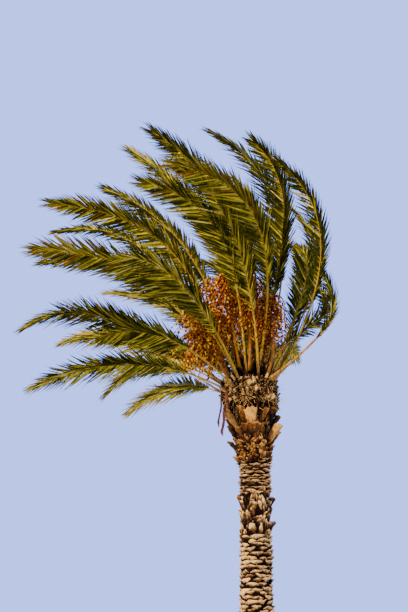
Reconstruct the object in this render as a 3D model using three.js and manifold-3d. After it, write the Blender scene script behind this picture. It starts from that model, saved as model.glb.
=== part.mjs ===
// Date palm in a steady wind that blows from +X to -X: a ringed trunk, a crown of cut leaf boots,
// a drum of fibre, and above it the fronds and the bunches of dates.
// Millimetres, +Z up. The origin is the middle of the flat cut under the trunk, at ground level.

import * as THREE from 'three';
import { mergeVertices } from 'three/addons/utils/BufferGeometryUtils.js';
import Module from 'manifold-3d';

const wasm = await Module();
wasm.setup();

// Driving dimensions.

const GAP = 0.3;                      // clearance between neighbouring solids
const TRUNK_TOP = 4560;               // the ringed trunk ends where the cut boots begin
const TRUNK_RADIUS = 200;             // half way up
const FLARE_RADIUS = 285;             // root boss at ground level
const FLARE_HEIGHT = 420;
const RING_PITCH = 150;               // one turn of old leaf scars
const RING_DEPTH = 14;
const LEAN_START = 4300;              // the stem is plumb up to here, then leans with the wind
const LEAN_TOP = -60;                 // how far over it stands at the head
const HEAD_FOOT = 5130;               // underside of the fibre drum
const HEAD_RADIUS = 330;
const HEART = new THREE.Vector3(LEAN_TOP, 0, 5500);  // where the fronds fan out from

const BOOT = { width: 158, length: 270, thick: 38, perRing: 9 };

// Rings of seats on the drum and the dome above it, from the rim inwards. Each seat holds the foot
// of one frond or of one date stalk. Height is above the heart, and rise is the one that suits it.
const SEAT_RINGS = [
  { radius: 322, height: -195, seats: 14, rise: 18 },
  { radius: 318, height: -95, seats: 14, rise: 32 },
  { radius: 262, height: -12, seats: 11, rise: 48 },
  { radius: 192, height: 50, seats: 10, rise: 64 },
  { radius: 110, height: 96, seats: 7, rise: 78 },
];

const SUNK = 25;                      // a stalk starts this far under its seat, and is cut flush

const RIB = { width: 66, height: 34, tipWidth: 7, tipHeight: 6 };
const BLADE_START = 0.22;             // bare leaf stalk below this share of the rib
const STALK_STEP = 0.09;              // longest stretch of the rib between rings on the stalk
const LEAFLET = { length: 550, baseAngle: 43, tipAngle: 28, highRank: 28, lowRank: -16 };
const WIND = new THREE.Vector3(-0.19, 0, -0.064);    // how leaflets are blown aside

// The fronds that show best, from the low left round over the top to the right. Turn is measured
// from +X towards +Y and rise from the level: they give the way the stalk leaves the head. The tip
// is measured from the heart. Heading and dive give the way the tip points. Spring and settle
// stiffen the two ends, roll turns the blade about its rib and curl turns its outer part further.
// Leaflets start at the share of the rib called bare, and leaf scales their length.
const SEEN_FRONDS = [
  { turn: 205, rise: 23, tip: [-2640, -1200, -430], heading: 182, dive: 28, roll: 42, leaf: 0.88 },
  { turn: 200, rise: 26, tip: [-2760, -1300, 250], heading: 182, dive: 42, spring: 0.4, roll: 62,
    curl: -62, leaf: 0.92 },
  { turn: 140, rise: 25, tip: [-1660, 2100, -10], heading: 150, dive: 35, spring: 0.3, roll: -38 },
  { turn: 150, rise: 35, tip: [-2010, 2000, 220], heading: 165, dive: 48, roll: -40 },
  { turn: 160, rise: 33, tip: [-2630, 1500, 850], heading: 178, dive: 26, roll: -52 },
  { turn: 145, rise: 40, tip: [-2080, 2200, 1080], heading: 165, dive: 6, roll: -38, leaf: 0.75 },
  { turn: 135, rise: 56, tip: [-2060, 2200, 1840], heading: 168, dive: -4, spring: 0.38, roll: -35 },
  { turn: 172, rise: 51, tip: [-2900, 800, 1810], heading: 178, dive: 14, spring: 0.4, settle: 0.4,
    roll: -48 },
  { turn: 222, rise: 52, tip: [-2740, -1300, 1280], heading: 180, dive: -2, spring: 0.4, settle: 0.5,
    roll: 70 },
  { turn: 165, rise: 56, tip: [-2800, 900, 2290], heading: 178, dive: 14, spring: 0.42, settle: 0.45,
    roll: -62 },
  { turn: 205, rise: 66, tip: [-2690, -400, 2250], heading: 180, dive: -5, spring: 0.45, settle: 0.5,
    roll: 58, bare: 0.28 },
  { turn: 150, rise: 70, tip: [-2100, 1300, 3190], heading: 175, dive: -25, spring: 0.42, roll: -55,
    bare: 0.28 },
  { turn: 255, rise: 66, tip: [-1430, -1300, 2180], heading: 182, dive: -12, spring: 0.5, settle: 0.45,
    roll: 58, bare: 0.3 },
  { turn: 120, rise: 82, tip: [-1700, 600, 3490], heading: 180, dive: -32, spring: 0.45, roll: -52,
    bare: 0.3 },
  { turn: 290, rise: 62, tip: [-1060, -1800, 2200], heading: 190, dive: -5, spring: 0.52, settle: 0.45,
    roll: 55, bare: 0.3 },
  { turn: 310, rise: 80, tip: [-1360, -300, 3390], heading: 180, dive: -38, spring: 0.46, settle: 0.45,
    roll: 45, bare: 0.3 },
  { turn: 70, rise: 72, tip: [-180, 1800, 3580], heading: 160, dive: -52, roll: -45, bare: 0.3 },
  { turn: 20, rise: 74, tip: [-570, 800, 3860], heading: 180, dive: -28, spring: 0.5, roll: -38,
    bare: 0.32 },
  { turn: 320, rise: 76, tip: [0, -300, 3240], heading: 180, dive: -42, spring: 0.49, roll: 45,
    bare: 0.26 },
  { turn: 340, rise: 57, tip: [260, -1000, 2640], heading: 180, dive: -36, spring: 0.41, settle: 0.44,
    roll: 45, bare: 0.36, leaf: 0.84 },
  { turn: 20, rise: 60, tip: [630, 600, 2560], heading: 178, dive: -44, spring: 0.48, roll: -40,
    bare: 0.38 },
  { turn: 333, rise: 34, tip: [880, -350, 1400], heading: 160, dive: -64, spring: 0.56, settle: 0.46,
    roll: 30, bare: 0.42, leaf: 0.6 },
  { turn: 350, rise: 62, tip: [940, 300, 1300], heading: 150, dive: -56, spring: 0.52, settle: 0.46,
    roll: 30, bare: 0.28, leaf: 0.9 },
  { turn: 60, rise: 40, tip: [700, 1500, 650], heading: 60, dive: 40 },
];

// The fronds behind and before them, in tiers, blown over by the same wind.
const TIERS = [
  { rise: 34, reach: 1700, height: 650, dive: 30, bare: 0.28, turns: [82, 102] },
  { rise: 30, reach: 1750, height: 100, dive: 40, bare: 0.4, turns: [232] },
  { rise: 62, reach: 1500, height: 2000, dive: -15, bare: 0.42, turns: [24] },
  { rise: 44, reach: 1850, height: 1050, dive: 20, bare: 0.28, turns: [68, 90, 242] },
  { rise: 58, reach: 1750, height: 2150, dive: -8, bare: 0.28, turns: [37, 88, 266] },
  { rise: 78, reach: 800, height: 2350, dive: -34, bare: 0.28, turns: [80, 285] },
];
const TIER_WIND = 750;                // how far the wind carries such a tip towards -X

// Bunches of dates: the way each stalk leaves the head, where its crook ends, and its strands.
const BUNCHES = [
  { turn: 200, rise: 62, crook: [-560, -340, 860], strands: 11 },
  { turn: 235, rise: 66, crook: [-330, -520, 1180], strands: 12 },
  { turn: 275, rise: 70, crook: [-20, -480, 1200], strands: 12 },
  { turn: 210, rise: 48, crook: [-620, -260, 500], strands: 9 },
  { turn: 330, rise: 60, crook: [270, -300, 980], strands: 9 },
  { turn: 40, rise: 58, crook: [300, 440, 860], strands: 9 },
  { turn: 108, rise: 56, crook: [-360, 520, 950], strands: 9 },
];
const SPEAR = { tip: [-330, 60, 1950], lean: 84, radii: [46, 30, 27, 24, 19, 13, 5] };
const STRAND = { length: 400, bead: 34, neck: 14, beads: 2, sides: 3 };

const LOOKS = {
  trunk: { color: 0x8a6f50, roughness: 0.95, metalness: 0 },
  boots: { color: 0xa9825a, roughness: 0.9, metalness: 0 },
  fibre: { color: 0x6e5238, roughness: 1, metalness: 0 },
  frond: { color: 0x6f7a3c, roughness: 0.7, metalness: 0 },
  dates: { color: 0xb5722f, roughness: 0.5, metalness: 0 },
};

// Small helpers.

const rad = THREE.MathUtils.degToRad;
const lerp = THREE.MathUtils.lerp;
const clamp = THREE.MathUtils.clamp;

function seededRandom(seed) {
  let state = seed;
  return () => {
    state = (state * 1664525 + 1013904223) % 4294967296;
    return state / 4294967296;
  };
}

function direction(turn, rise) {
  const level = Math.cos(rad(rise));
  return new THREE.Vector3(
    Math.cos(rad(turn)) * level,
    Math.sin(rad(turn)) * level,
    Math.sin(rad(rise)),
  );
}

function turnBetween(a, b) {
  const turn = Math.abs(a - b) % 360;
  return Math.min(turn, 360 - turn);
}

function facesToGeometry(points, faces) {
  const geometry = new THREE.BufferGeometry();
  const flat = points.flatMap((p) => [p.x, p.y, p.z]);
  geometry.setAttribute('position', new THREE.Float32BufferAttribute(flat, 3));
  geometry.setIndex(faces.flat());
  return geometry;
}

function toSolid(geometry) {
  const bare = geometry.clone();
  bare.deleteAttribute('normal');
  bare.deleteAttribute('uv');
  const merged = mergeVertices(bare, 1e-3);
  return new wasm.Manifold(new wasm.Mesh({
    numProp: 3,
    vertProperties: new Float32Array(merged.attributes.position.array),
    triVerts: new Uint32Array(merged.index.array),
  }));
}

function toGeometry(solid) {
  const mesh = solid.getMesh();
  const geometry = new THREE.BufferGeometry();
  geometry.setAttribute('position', new THREE.BufferAttribute(mesh.vertProperties, 3));
  geometry.setIndex(new THREE.BufferAttribute(mesh.triVerts, 1));
  return geometry;
}

function joinAll(geometries) {
  return geometries.map(toSolid).reduce((whole, next) => whole.add(next));
}

function leanAt(z) {
  const share = clamp((z - LEAN_START) / (HEART.z - LEAN_START), 0, 1);
  return LEAN_TOP * share * share * (3 - 2 * share);
}

function lean(geometry) {
  const position = geometry.attributes.position;
  for (let i = 0; i < position.count; i += 1) {
    position.setX(i, position.getX(i) + leanAt(position.getZ(i)));
  }
  return geometry;
}

// A closed lathe about the Z axis from [radius, height] pairs that start and end on the axis.
function turned(profile, sides) {
  const points = profile.map(([radius, height]) => new THREE.Vector2(radius, height));
  const geometry = new THREE.LatheGeometry(points, sides);
  geometry.rotateX(Math.PI / 2);
  return geometry;
}

// Trunk, boots and head.

function trunkRadius(z) {
  const flare = (FLARE_RADIUS - TRUNK_RADIUS) * Math.exp(-z / FLARE_HEIGHT);
  const waist = -14 * Math.exp(-(((z - 3950) / 420) ** 2));
  const swell = 10 * Math.exp(-(((z - 2600) / 700) ** 2));
  return TRUNK_RADIUS + flare + waist + swell;
}

// Each ring of scars stands out at its upper lip, and the lips climb round the stem in a slow screw.
function makeTrunk() {
  const rings = Math.round(TRUNK_TOP / RING_PITCH);
  const profile = [[0, 0], [trunkRadius(0), 0]];
  for (let ring = 0; ring < rings; ring += 1) {
    const lip = (ring + 0.82) * (TRUNK_TOP / rings);
    const waist = (ring + 1) * (TRUNK_TOP / rings);
    profile.push([trunkRadius(lip) + RING_DEPTH, lip]);
    profile.push([trunkRadius(waist) - RING_DEPTH * 0.4, waist]);
  }
  profile[profile.length - 1][1] = TRUNK_TOP;
  profile.push([0, TRUNK_TOP]);
  const geometry = turned(profile, 14);
  const position = geometry.attributes.position;
  for (let i = 0; i < position.count; i += 1) {
    const z = position.getZ(i);
    const inside = z > 1 && z < TRUNK_TOP - 1;
    const around = Math.atan2(position.getY(i), position.getX(i));
    const step = inside ? Math.sin(around * 3 + z / 190) * 24 : 0;
    position.setZ(i, z + step);
  }
  return lean(geometry);
}

function bootShape() {
  const half = BOOT.width / 2;
  const shape = new THREE.Shape();
  shape.moveTo(-half * 0.62, 0);
  shape.lineTo(half * 0.62, 0);
  shape.lineTo(half, BOOT.length * 0.8);
  shape.quadraticCurveTo(0, BOOT.length * 1.12, -half, BOOT.length * 0.8);
  shape.closePath();
  return shape;
}

// One cut leaf base: rooted low on the neck, leaning out and up, its cut end at the top.
function makeBoot(turn, z, splay) {
  const geometry = new THREE.ExtrudeGeometry(bootShape(), {
    depth: BOOT.thick,
    bevelEnabled: false,
    curveSegments: 3,
  });
  geometry.translate(0, 0, -BOOT.thick / 2);
  geometry.rotateX(Math.PI / 2);
  geometry.rotateX(rad(splay));
  geometry.translate(0, -neckRadius(z) + BOOT.thick * 0.3, z);
  geometry.rotateZ(rad(turn + 90));
  return geometry;
}

function neckRadius(z) {
  const share = clamp((z - TRUNK_TOP) / (HEAD_FOOT - TRUNK_TOP), 0, 1);
  return lerp(198, 262, share ** 1.5);
}

function makeBootCrown() {
  const foot = TRUNK_TOP + GAP;
  const top = HEAD_FOOT - GAP;
  const profile = [[0, foot]];
  for (let step = 0; step <= 4; step += 1) {
    const z = lerp(foot, top, step / 4);
    profile.push([neckRadius(z), z]);
  }
  profile.push([0, top]);
  const pieces = [turned(profile, 18)];
  const rows = [
    { z: 4600, splay: 25, offset: 0 },
    { z: 4800, splay: 35, offset: 180 / BOOT.perRing },
  ];
  for (const row of rows) {
    for (let i = 0; i < BOOT.perRing; i += 1) {
      pieces.push(makeBoot(row.offset + (i * 360) / BOOT.perRing, row.z, row.splay));
    }
  }
  return lean(toGeometry(joinAll(pieces)));
}

// A dry sheath that hangs from the drum past the boots.
function makeSheath(turn, length, width) {
  const shape = new THREE.Shape();
  shape.moveTo(-width / 2, 60);
  shape.lineTo(-width * 0.3, -length);
  shape.lineTo(width * 0.12, -length * 1.06);
  shape.lineTo(width / 2, 60);
  shape.closePath();
  const geometry = new THREE.ExtrudeGeometry(shape, { depth: 16, bevelEnabled: false });
  geometry.rotateX(Math.PI / 2);
  geometry.rotateX(rad(-8));
  geometry.translate(0, -HEAD_RADIUS + 20, HEAD_FOOT + 90);
  geometry.rotateZ(rad(turn + 90));
  geometry.translate(LEAN_TOP, 0, 0);
  return geometry;
}

function makeHead() {
  const profile = [
    [0, HEAD_FOOT],
    [HEAD_RADIUS - 44, HEAD_FOOT],
    [HEAD_RADIUS, HEAD_FOOT + 45],
    [HEAD_RADIUS - 12, HEAD_FOOT + 130],
    [HEAD_RADIUS + 3, HEAD_FOOT + 200],
    [HEAD_RADIUS - 8, HEAD_FOOT + 290],
    [280, HEART.z - 15],
    [205, HEART.z + 45],
    [118, HEART.z + 92],
    [0, HEART.z + 122],
  ];
  const drum = turned(profile, 20);
  drum.translate(LEAN_TOP, 0, 0);
  return joinAll([drum, makeSheath(200, 400, 74), makeSheath(240, 220, 58)]);
}

// Seats on the head.

function seatPoints() {
  return SEAT_RINGS.flatMap((ring, row) => Array.from({ length: ring.seats }, (_, i) => {
    const turn = ((i + (row % 2) * 0.5) * 360) / ring.seats;
    return {
      turn,
      rise: ring.rise,
      point: HEART.clone().add(new THREE.Vector3(
        Math.cos(rad(turn)) * ring.radius,
        Math.sin(rad(turn)) * ring.radius,
        ring.height,
      )),
    };
  }));
}

// The steepest stalks choose first. Each takes the free seat that suits its turn and rise best.
function seatStalks(plans) {
  const free = seatPoints();
  const feet = new Map();
  const inOrder = [...plans].sort((a, b) => b.rise - a.rise || a.turn - b.turn);
  for (const plan of inOrder) {
    const cost = (seat) => turnBetween(seat.turn, plan.turn) * Math.cos(rad(plan.rise)) * 1.2
      + Math.abs(seat.rise - plan.rise);
    const best = free.reduce((a, b) => (cost(b) < cost(a) ? b : a));
    free.splice(free.indexOf(best), 1);
    feet.set(plan, best.point);
  }
  return feet;
}

// Fronds.

function tierFronds() {
  return TIERS.flatMap((tier) => tier.turns.map((turn) => {
    const out = direction(turn, 0).multiplyScalar(tier.reach);
    const tip = [out.x - TIER_WIND, out.y, tier.height];
    const heading = THREE.MathUtils.radToDeg(Math.atan2(tip[1], tip[0] - 1200));
    return {
      turn,
      rise: tier.rise,
      tip,
      heading,
      dive: tier.dive,
      bare: tier.bare,
      roll: turn < 180 ? -40 : 40,
      pairs: 12,
    };
  }));
}

function spineOf(frond, seat) {
  const foot = seat.clone().addScaledVector(direction(frond.turn, frond.rise), -SUNK);
  const tip = HEART.clone().add(new THREE.Vector3(...frond.tip));
  const chord = tip.distanceTo(foot);
  const launch = direction(frond.turn, frond.rise).multiplyScalar(chord * (frond.spring ?? 0.35));
  const arrive = direction(frond.heading, -frond.dive);
  arrive.multiplyScalar(chord * (frond.settle ?? 0.34));
  return new THREE.CubicBezierCurve3(foot, foot.clone().add(launch), tip.clone().sub(arrive), tip);
}

// The blade lies square to the plane that its rib bends in, then rolls about the rib.
function frameAt(spine, share, plan) {
  const along = spine.getTangentAt(share);
  const start = spine.getPoint(0);
  const bend = spine.getPoint(0.5).sub(start).cross(spine.getPoint(1).sub(start)).normalize();
  const side = bend.sub(along.clone().multiplyScalar(bend.dot(along))).normalize();
  const twist = rad(plan.roll ?? 0) * clamp(share / 0.3, 0, 1)
    + rad(plan.curl ?? 0) * clamp((share - 0.5) / 0.4, 0, 1);
  side.applyAxisAngle(along, twist);
  const face = new THREE.Vector3().crossVectors(side, along);
  return { at: spine.getPointAt(share), along, side, face };
}

function ribSize(share) {
  const stalk = 1 - 0.62 * clamp(share / 0.16, 0, 1);
  const taper = stalk * (1 - clamp((share - BLADE_START) / (1 - BLADE_START), 0, 1)) ** 1.7;
  return {
    width: lerp(RIB.tipWidth, RIB.width, taper) / 2,
    height: lerp(RIB.tipHeight, RIB.height, taper) / 2,
  };
}

function ribRing(frame, share) {
  const { width, height } = ribSize(share);
  const corner = (x, y) => frame.at.clone()
    .addScaledVector(frame.side, x * width)
    .addScaledVector(frame.face, y * height);
  return [corner(-1, 1), corner(-1, -1), corner(1, -1), corner(1, 1)];
}

// Leaflets are longest in the middle of the blade, and lie closer to the rib towards its tip.
function leafletLength(place) {
  const rise = lerp(0.3, 1, clamp(place / 0.22, 0, 1));
  const fall = 1 - 0.64 * clamp((place - 0.6) / 0.4, 0, 1) ** 1.5;
  return LEAFLET.length * rise * fall;
}

// Leaflets on the windward side are pressed against the rib.
function leafletDirection(frame, place, hand, rank) {
  const lift = rad(rank);
  const across = frame.side.clone().multiplyScalar(hand * Math.cos(lift));
  across.addScaledVector(frame.face, Math.sin(lift));
  const windward = Math.max(0, across.x);
  const angle = rad(lerp(LEAFLET.baseAngle, LEAFLET.tipAngle, place ** 0.7)) * (1 - 0.45 * windward);
  const way = frame.along.clone().multiplyScalar(Math.cos(angle));
  return way.addScaledVector(across, Math.sin(angle)).add(WIND).normalize();
}

function spikeSolid(base, tip) {
  const points = [...base, tip];
  const faces = [[1, 0, 4], [2, 1, 4], [3, 2, 4], [0, 3, 4], [0, 1, 2], [0, 2, 3]];
  return toSolid(facesToGeometry(points, faces));
}

// One tapered, four-sided rib. Between its rings each side face either stays flat or is drawn out
// to a point, which makes a leaflet, so the outline is cut back to the rib between the leaflets.
class Frond {
  constructor(name, plan, foot) {
    this.name = name;
    this.plan = plan;
    this.spine = spineOf(plan, foot);
    this.spine.arcLengthDivisions = 120;
    this.pairs = plan.pairs ?? 19;
    const bare = plan.bare ?? BLADE_START;
    this.first = Math.ceil(bare / STALK_STEP);
    this.stations = [];
    for (let i = 0; i < this.first; i += 1) {
      this.stations.push((bare * i) / this.first);
    }
    for (let i = 0; i <= this.pairs; i += 1) {
      this.stations.push(lerp(bare, 0.965, i / this.pairs));
    }
    this.rings = this.stations.map((share) => {
      const frame = frameAt(this.spine, share, plan);
      return { frame, corners: ribRing(frame, share) };
    });
    this.end = this.spine.getPointAt(1);
    this.leaflets = new Map();
    this.spikes = [];
  }

  // Where the leaflet's root sits on the rib: the side face between two rings.
  rootOf(index, hand) {
    const near = this.rings[index].corners;
    const far = this.rings[index + 1].corners;
    return hand < 0 ? [near[0], near[1], far[1], far[0]] : [near[2], near[3], far[3], far[2]];
  }

  tipOf(index, hand, trial) {
    const place = (index - this.first + 0.5) / this.pairs;
    const root = this.rootOf(index, hand);
    const middle = root.reduce((sum, p) => sum.add(p), new THREE.Vector3()).multiplyScalar(0.25);
    const rank = (index % 2 ? LEAFLET.highRank : LEAFLET.lowRank) + trial.lift;
    const way = leafletDirection(this.rings[index].frame, place, hand, rank);
    const length = leafletLength(place) * (this.plan.leaf ?? 1) * trial.scale;
    return middle.addScaledVector(way, length);
  }

  geometry() {
    const points = this.rings.flatMap((ring) => ring.corners);
    const faces = [[2, 3, 0], [1, 2, 0]];
    for (let i = 0; i + 1 < this.rings.length; i += 1) {
      for (let edge = 0; edge < 4; edge += 1) {
        const a = i * 4 + edge;
        const b = i * 4 + ((edge + 1) % 4);
        const tip = this.leaflets.get(`${i}:${edge === 0 ? -1 : 1}`);
        if (edge % 2 === 0 && tip) {
          const t = points.push(tip) - 1;
          faces.push([b, a, t], [b + 4, b, t], [a + 4, b + 4, t], [a, a + 4, t]);
        } else {
          faces.push([b + 4, b, a], [a + 4, b + 4, a]);
        }
      }
    }
    const last = (this.rings.length - 1) * 4;
    const end = points.push(this.end) - 1;
    for (let edge = 0; edge < 4; edge += 1) {
      faces.push([last + ((edge + 1) % 4), last + edge, end]);
    }
    return facesToGeometry(points, faces);
  }
}

// Bunches of dates.

function stalkCurve(plan, seat) {
  const foot = seat.clone().addScaledVector(direction(plan.turn, plan.rise), -SUNK);
  const end = HEART.clone().add(new THREE.Vector3(...plan.crook));
  const launch = direction(plan.turn, plan.rise).multiplyScalar(end.distanceTo(foot) * 0.5);
  const over = direction(plan.turn, -25).multiplyScalar(130);
  return new THREE.CubicBezierCurve3(foot, foot.clone().add(launch), end.clone().sub(over), end);
}

// A tapered tube through rings of the given radii, closed at both ends.
function tubeThrough(points, radii, sides) {
  const curve = new THREE.CatmullRomCurve3(points);
  const rings = points.map((point, i) => {
    const along = curve.getTangent(i / (points.length - 1));
    const side = new THREE.Vector3(along.y, -along.x, 0.001).normalize();
    const face = new THREE.Vector3().crossVectors(side, along).normalize();
    return Array.from({ length: sides }, (_, k) => {
      const angle = (k / sides) * Math.PI * 2;
      return point.clone()
        .addScaledVector(side, Math.cos(angle) * radii[i])
        .addScaledVector(face, Math.sin(angle) * radii[i]);
    });
  });
  const all = rings.flat();
  const faces = [];
  for (let i = 0; i + 1 < rings.length; i += 1) {
    for (let k = 0; k < sides; k += 1) {
      const a = i * sides + k;
      const b = i * sides + ((k + 1) % sides);
      faces.push([a, a + sides, b + sides], [a, b + sides, b]);
    }
  }
  const top = (rings.length - 1) * sides;
  for (let k = 1; k + 1 < sides; k += 1) {
    faces.push([0, k, k + 1], [top, top + k + 1, top + k]);
  }
  return facesToGeometry(all, faces);
}

// The youngest leaf, still folded, stands up out of the middle of the dome.
function makeSpear() {
  const foot = HEART.clone().add(new THREE.Vector3(0, 0, 100));
  const tip = HEART.clone().add(new THREE.Vector3(...SPEAR.tip));
  const launch = direction(180, SPEAR.lean).multiplyScalar(foot.distanceTo(tip) * 0.5);
  const curve = new THREE.QuadraticBezierCurve3(foot, foot.clone().add(launch), tip);
  return tubeThrough(curve.getPoints(SPEAR.radii.length - 1), SPEAR.radii, 6);
}

// The strands spring from the crook and hang in a broom, each with a few thick rows of fruit.
function strandGeometry(root, turn, splay, length) {
  const points = [];
  const radii = [];
  const steps = STRAND.beads * 2;
  for (let i = 0; i <= steps; i += 1) {
    const share = i / steps;
    const out = Math.sin(share * 1.35) * splay;
    const point = root.clone().add(direction(turn, 0).multiplyScalar(out));
    point.z += 40 * Math.sin(share * 3) - length * share ** 1.6;
    points.push(point);
    radii.push(i % 2 ? STRAND.bead : STRAND.neck);
  }
  return tubeThrough(points, radii, STRAND.sides);
}

// A strand that would touch a frond or another bunch is left out.
function growStrands(bunch, neighbours) {
  const random = seededRandom(bunch.seed);
  const crook = bunch.curve.getPoint(1);
  for (let i = 0; i < bunch.plan.strands; i += 1) {
    const turn = bunch.plan.turn + (i / bunch.plan.strands) * 360;
    const splay = lerp(80, 210, random());
    const length = STRAND.length * lerp(0.75, 1.1, random());
    const strand = toSolid(strandGeometry(crook, turn, splay, length));
    if (!neighbours.touches(strand, bunch.name)) {
      neighbours.add(strand, bunch.name);
      bunch.solid = bunch.solid.add(strand);
    }
  }
}

// Growing the crown.

// Solids that a leaflet must keep clear of, each with its box for a quick first test. A leaflet may
// rest against its own rib, and meets the next one along an edge, so a trace in common is allowed.
const TOUCH = 0.0005;                 // cubic millimetres

class Neighbours {
  constructor() {
    this.items = [];
  }

  add(solid, owner) {
    this.items.push({ solid, owner, box: solid.boundingBox() });
  }

  touches(solid, owner) {
    const box = solid.boundingBox();
    return this.items.some((item) => {
      if (item.owner === owner) {
        return false;
      }
      for (let axis = 0; axis < 3; axis += 1) {
        if (item.box.min[axis] > box.max[axis] || item.box.max[axis] < box.min[axis]) {
          return false;
        }
      }
      const shared = item.solid.intersect(solid);
      const volume = shared.volume();
      shared.delete();
      return volume > TOUCH;
    });
  }
}

// A leaflet in another's way is lifted, lowered or shortened, and left out when none of that helps.
const TRIALS = [
  { lift: 0, scale: 1 },
  { lift: 24, scale: 1 },
  { lift: -24, scale: 1 },
  { lift: 12, scale: 0.7 },
  { lift: -12, scale: 0.5 },
];

function growLeaflets(frond, neighbours) {
  for (let i = frond.first; i < frond.first + frond.pairs; i += 1) {
    for (const hand of [-1, 1]) {
      const root = frond.rootOf(i, hand);
      for (const trial of TRIALS) {
        const tip = frond.tipOf(i, hand, trial);
        const spike = spikeSolid(root, tip);
        if (!neighbours.touches(spike, frond.name)) {
          neighbours.add(spike, 'leaflet');
          frond.leaflets.set(`${i}:${hand}`, tip);
          break;
        }
        spike.delete();
      }
    }
  }
}

function makeMesh(name, geometry, look) {
  const mesh = new THREE.Mesh(geometry, new THREE.MeshStandardMaterial(look));
  mesh.name = name;
  return mesh;
}

function buildPalm() {
  const palm = new THREE.Group();
  const head = makeHead();
  const headClear = grown(head);
  const plans = [...SEEN_FRONDS, ...tierFronds()];
  const feet = seatStalks([...BUNCHES, ...plans]);
  const neighbours = new Neighbours();

  const trunk = makeTrunk();
  const boots = makeBootCrown();
  palm.add(makeMesh('trunk', trunk, LOOKS.trunk));
  palm.add(makeMesh('boot_crown', boots, LOOKS.boots));
  palm.add(makeMesh('fibre_head', toGeometry(head), LOOKS.fibre));
  neighbours.add(toSolid(trunk), 'trunk');
  neighbours.add(toSolid(boots), 'boot_crown');
  neighbours.add(head, 'fibre_head');

  const spear = toSolid(makeSpear()).subtract(headClear);
  neighbours.add(spear, 'spear');
  palm.add(makeMesh('spear', toGeometry(spear), LOOKS.frond));

  const bunches = BUNCHES.map((plan, i) => {
    const curve = stalkCurve(plan, feet.get(plan));
    const stalk = tubeThrough(curve.getPoints(6), [30, 22, 20, 19, 18, 18, 34], 5);
    return { name: `date_bunch_${i + 1}`, plan, curve, seed: 100 + i, solid: toSolid(stalk) };
  });

  const fronds = plans.map((plan, i) => {
    const name = `frond_${String(i + 1).padStart(2, '0')}`;
    return new Frond(name, plan, feet.get(plan));
  });
  fronds.forEach((frond) => neighbours.add(toSolid(frond.geometry()), frond.name));
  bunches.forEach((bunch) => neighbours.add(bunch.solid, bunch.name));
  bunches.forEach((bunch) => {
    growStrands(bunch, neighbours);
    const solid = bunch.solid.subtract(headClear);
    palm.add(makeMesh(bunch.name, toGeometry(solid), LOOKS.dates));
  });
  fronds.forEach((frond) => growLeaflets(frond, neighbours));
  fronds.forEach((frond) => {
    const solid = toSolid(frond.geometry()).subtract(headClear);
    palm.add(makeMesh(frond.name, toGeometry(solid), LOOKS.frond));
  });
  return palm;
}

// The head with the clearance added all round, which the feet of the stalks are cut to.
function grown(solid) {
  const geometry = toGeometry(solid);
  const whole = mergeVertices(geometry, 1e-3);
  whole.computeVertexNormals();
  const position = whole.attributes.position;
  const normal = whole.attributes.normal;
  for (let i = 0; i < position.count; i += 1) {
    position.setXYZ(
      i,
      position.getX(i) + normal.getX(i) * GAP * 1.25,
      position.getY(i) + normal.getY(i) * GAP * 1.25,
      position.getZ(i) + normal.getZ(i) * GAP * 1.25,
    );
  }
  return toSolid(whole);
}

export default buildPalm();
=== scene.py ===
"""A date palm in a steady wind: ringed trunk, cut boots, fibre head, feather fronds and dates.

Metres, +Z up, the wind blows towards -X and the photograph looks along +Y. Turns are in degrees
from +X about the trunk, and rises in degrees from the level.
"""

import logging
import math
from dataclasses import dataclass
from enum import Enum

import bmesh
import bpy
import numpy as np
from mathutils import Euler, Matrix, Vector


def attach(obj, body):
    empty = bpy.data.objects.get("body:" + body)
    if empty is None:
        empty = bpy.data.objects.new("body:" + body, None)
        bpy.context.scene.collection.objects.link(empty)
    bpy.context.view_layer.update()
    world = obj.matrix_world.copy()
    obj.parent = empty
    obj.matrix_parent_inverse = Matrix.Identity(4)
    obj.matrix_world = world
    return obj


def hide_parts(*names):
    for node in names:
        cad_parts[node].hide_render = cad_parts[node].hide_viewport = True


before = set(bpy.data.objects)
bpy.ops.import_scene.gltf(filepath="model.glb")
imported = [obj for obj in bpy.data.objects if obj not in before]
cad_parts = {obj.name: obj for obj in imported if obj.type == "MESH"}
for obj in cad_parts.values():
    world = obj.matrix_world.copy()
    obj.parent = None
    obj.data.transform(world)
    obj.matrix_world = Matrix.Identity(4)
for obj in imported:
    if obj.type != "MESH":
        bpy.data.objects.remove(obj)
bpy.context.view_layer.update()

LOG = logging.getLogger("date_palm")
Array = np.ndarray
Rng = np.random.Generator
Piece = bpy.types.Object
Colour = tuple[float, float, float]
Triple = tuple[float, float, float]
Form = tuple[np.ndarray, list[np.ndarray]]

# Sizes shared with the solids

TRUNK_TOP = 4.56
TRUNK_RADIUS = 0.200
FLARE_RADIUS = 0.285
FLARE_HEIGHT = 0.42
LEAN_START = 4.30
LEAN_TOP = -0.06
HEAD_FOOT = 5.13
NECK_RADIUS = 0.198
NECK_WIDENING = 0.064
HEAD_RADIUS = 0.33
HEART = np.array([LEAN_TOP, 0.0, 5.5])
BLADE_START = 0.22
SUNK = 0.025
RIB_BASE = (0.066, 0.034)
RIB_TIP = (0.007, 0.006)
WIND = np.array([-0.24, 0.0, -0.08])
FULL_TURN = 2 * math.pi
LAST_PHASE = 6.28
NEAR_AXIS = 0.05


class Tone(Enum):
    """How a frond has coloured, and how much painted shade and painted sunlight its leaflets get:
    the darkest fronds are dark green and mostly in painted shade, the pale and gold ones get more
    painted sunlight.
    """

    GREEN = "green"
    DEEP_SHADED = "deep_shaded"
    GOLD = "gold"
    PALE = "pale"
    RUSSET = "russet"


class Tint(Enum):
    """The colours that leaflets are dealt: shade and sunlit are painted shade and painted sunlight
    on olive, straw is a dry colour that also serves as a painted highlight.
    """

    SHADE = 0
    OLIVE = 1
    SUNLIT = 2
    STRAW = 3
    RUSSET = 4


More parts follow.
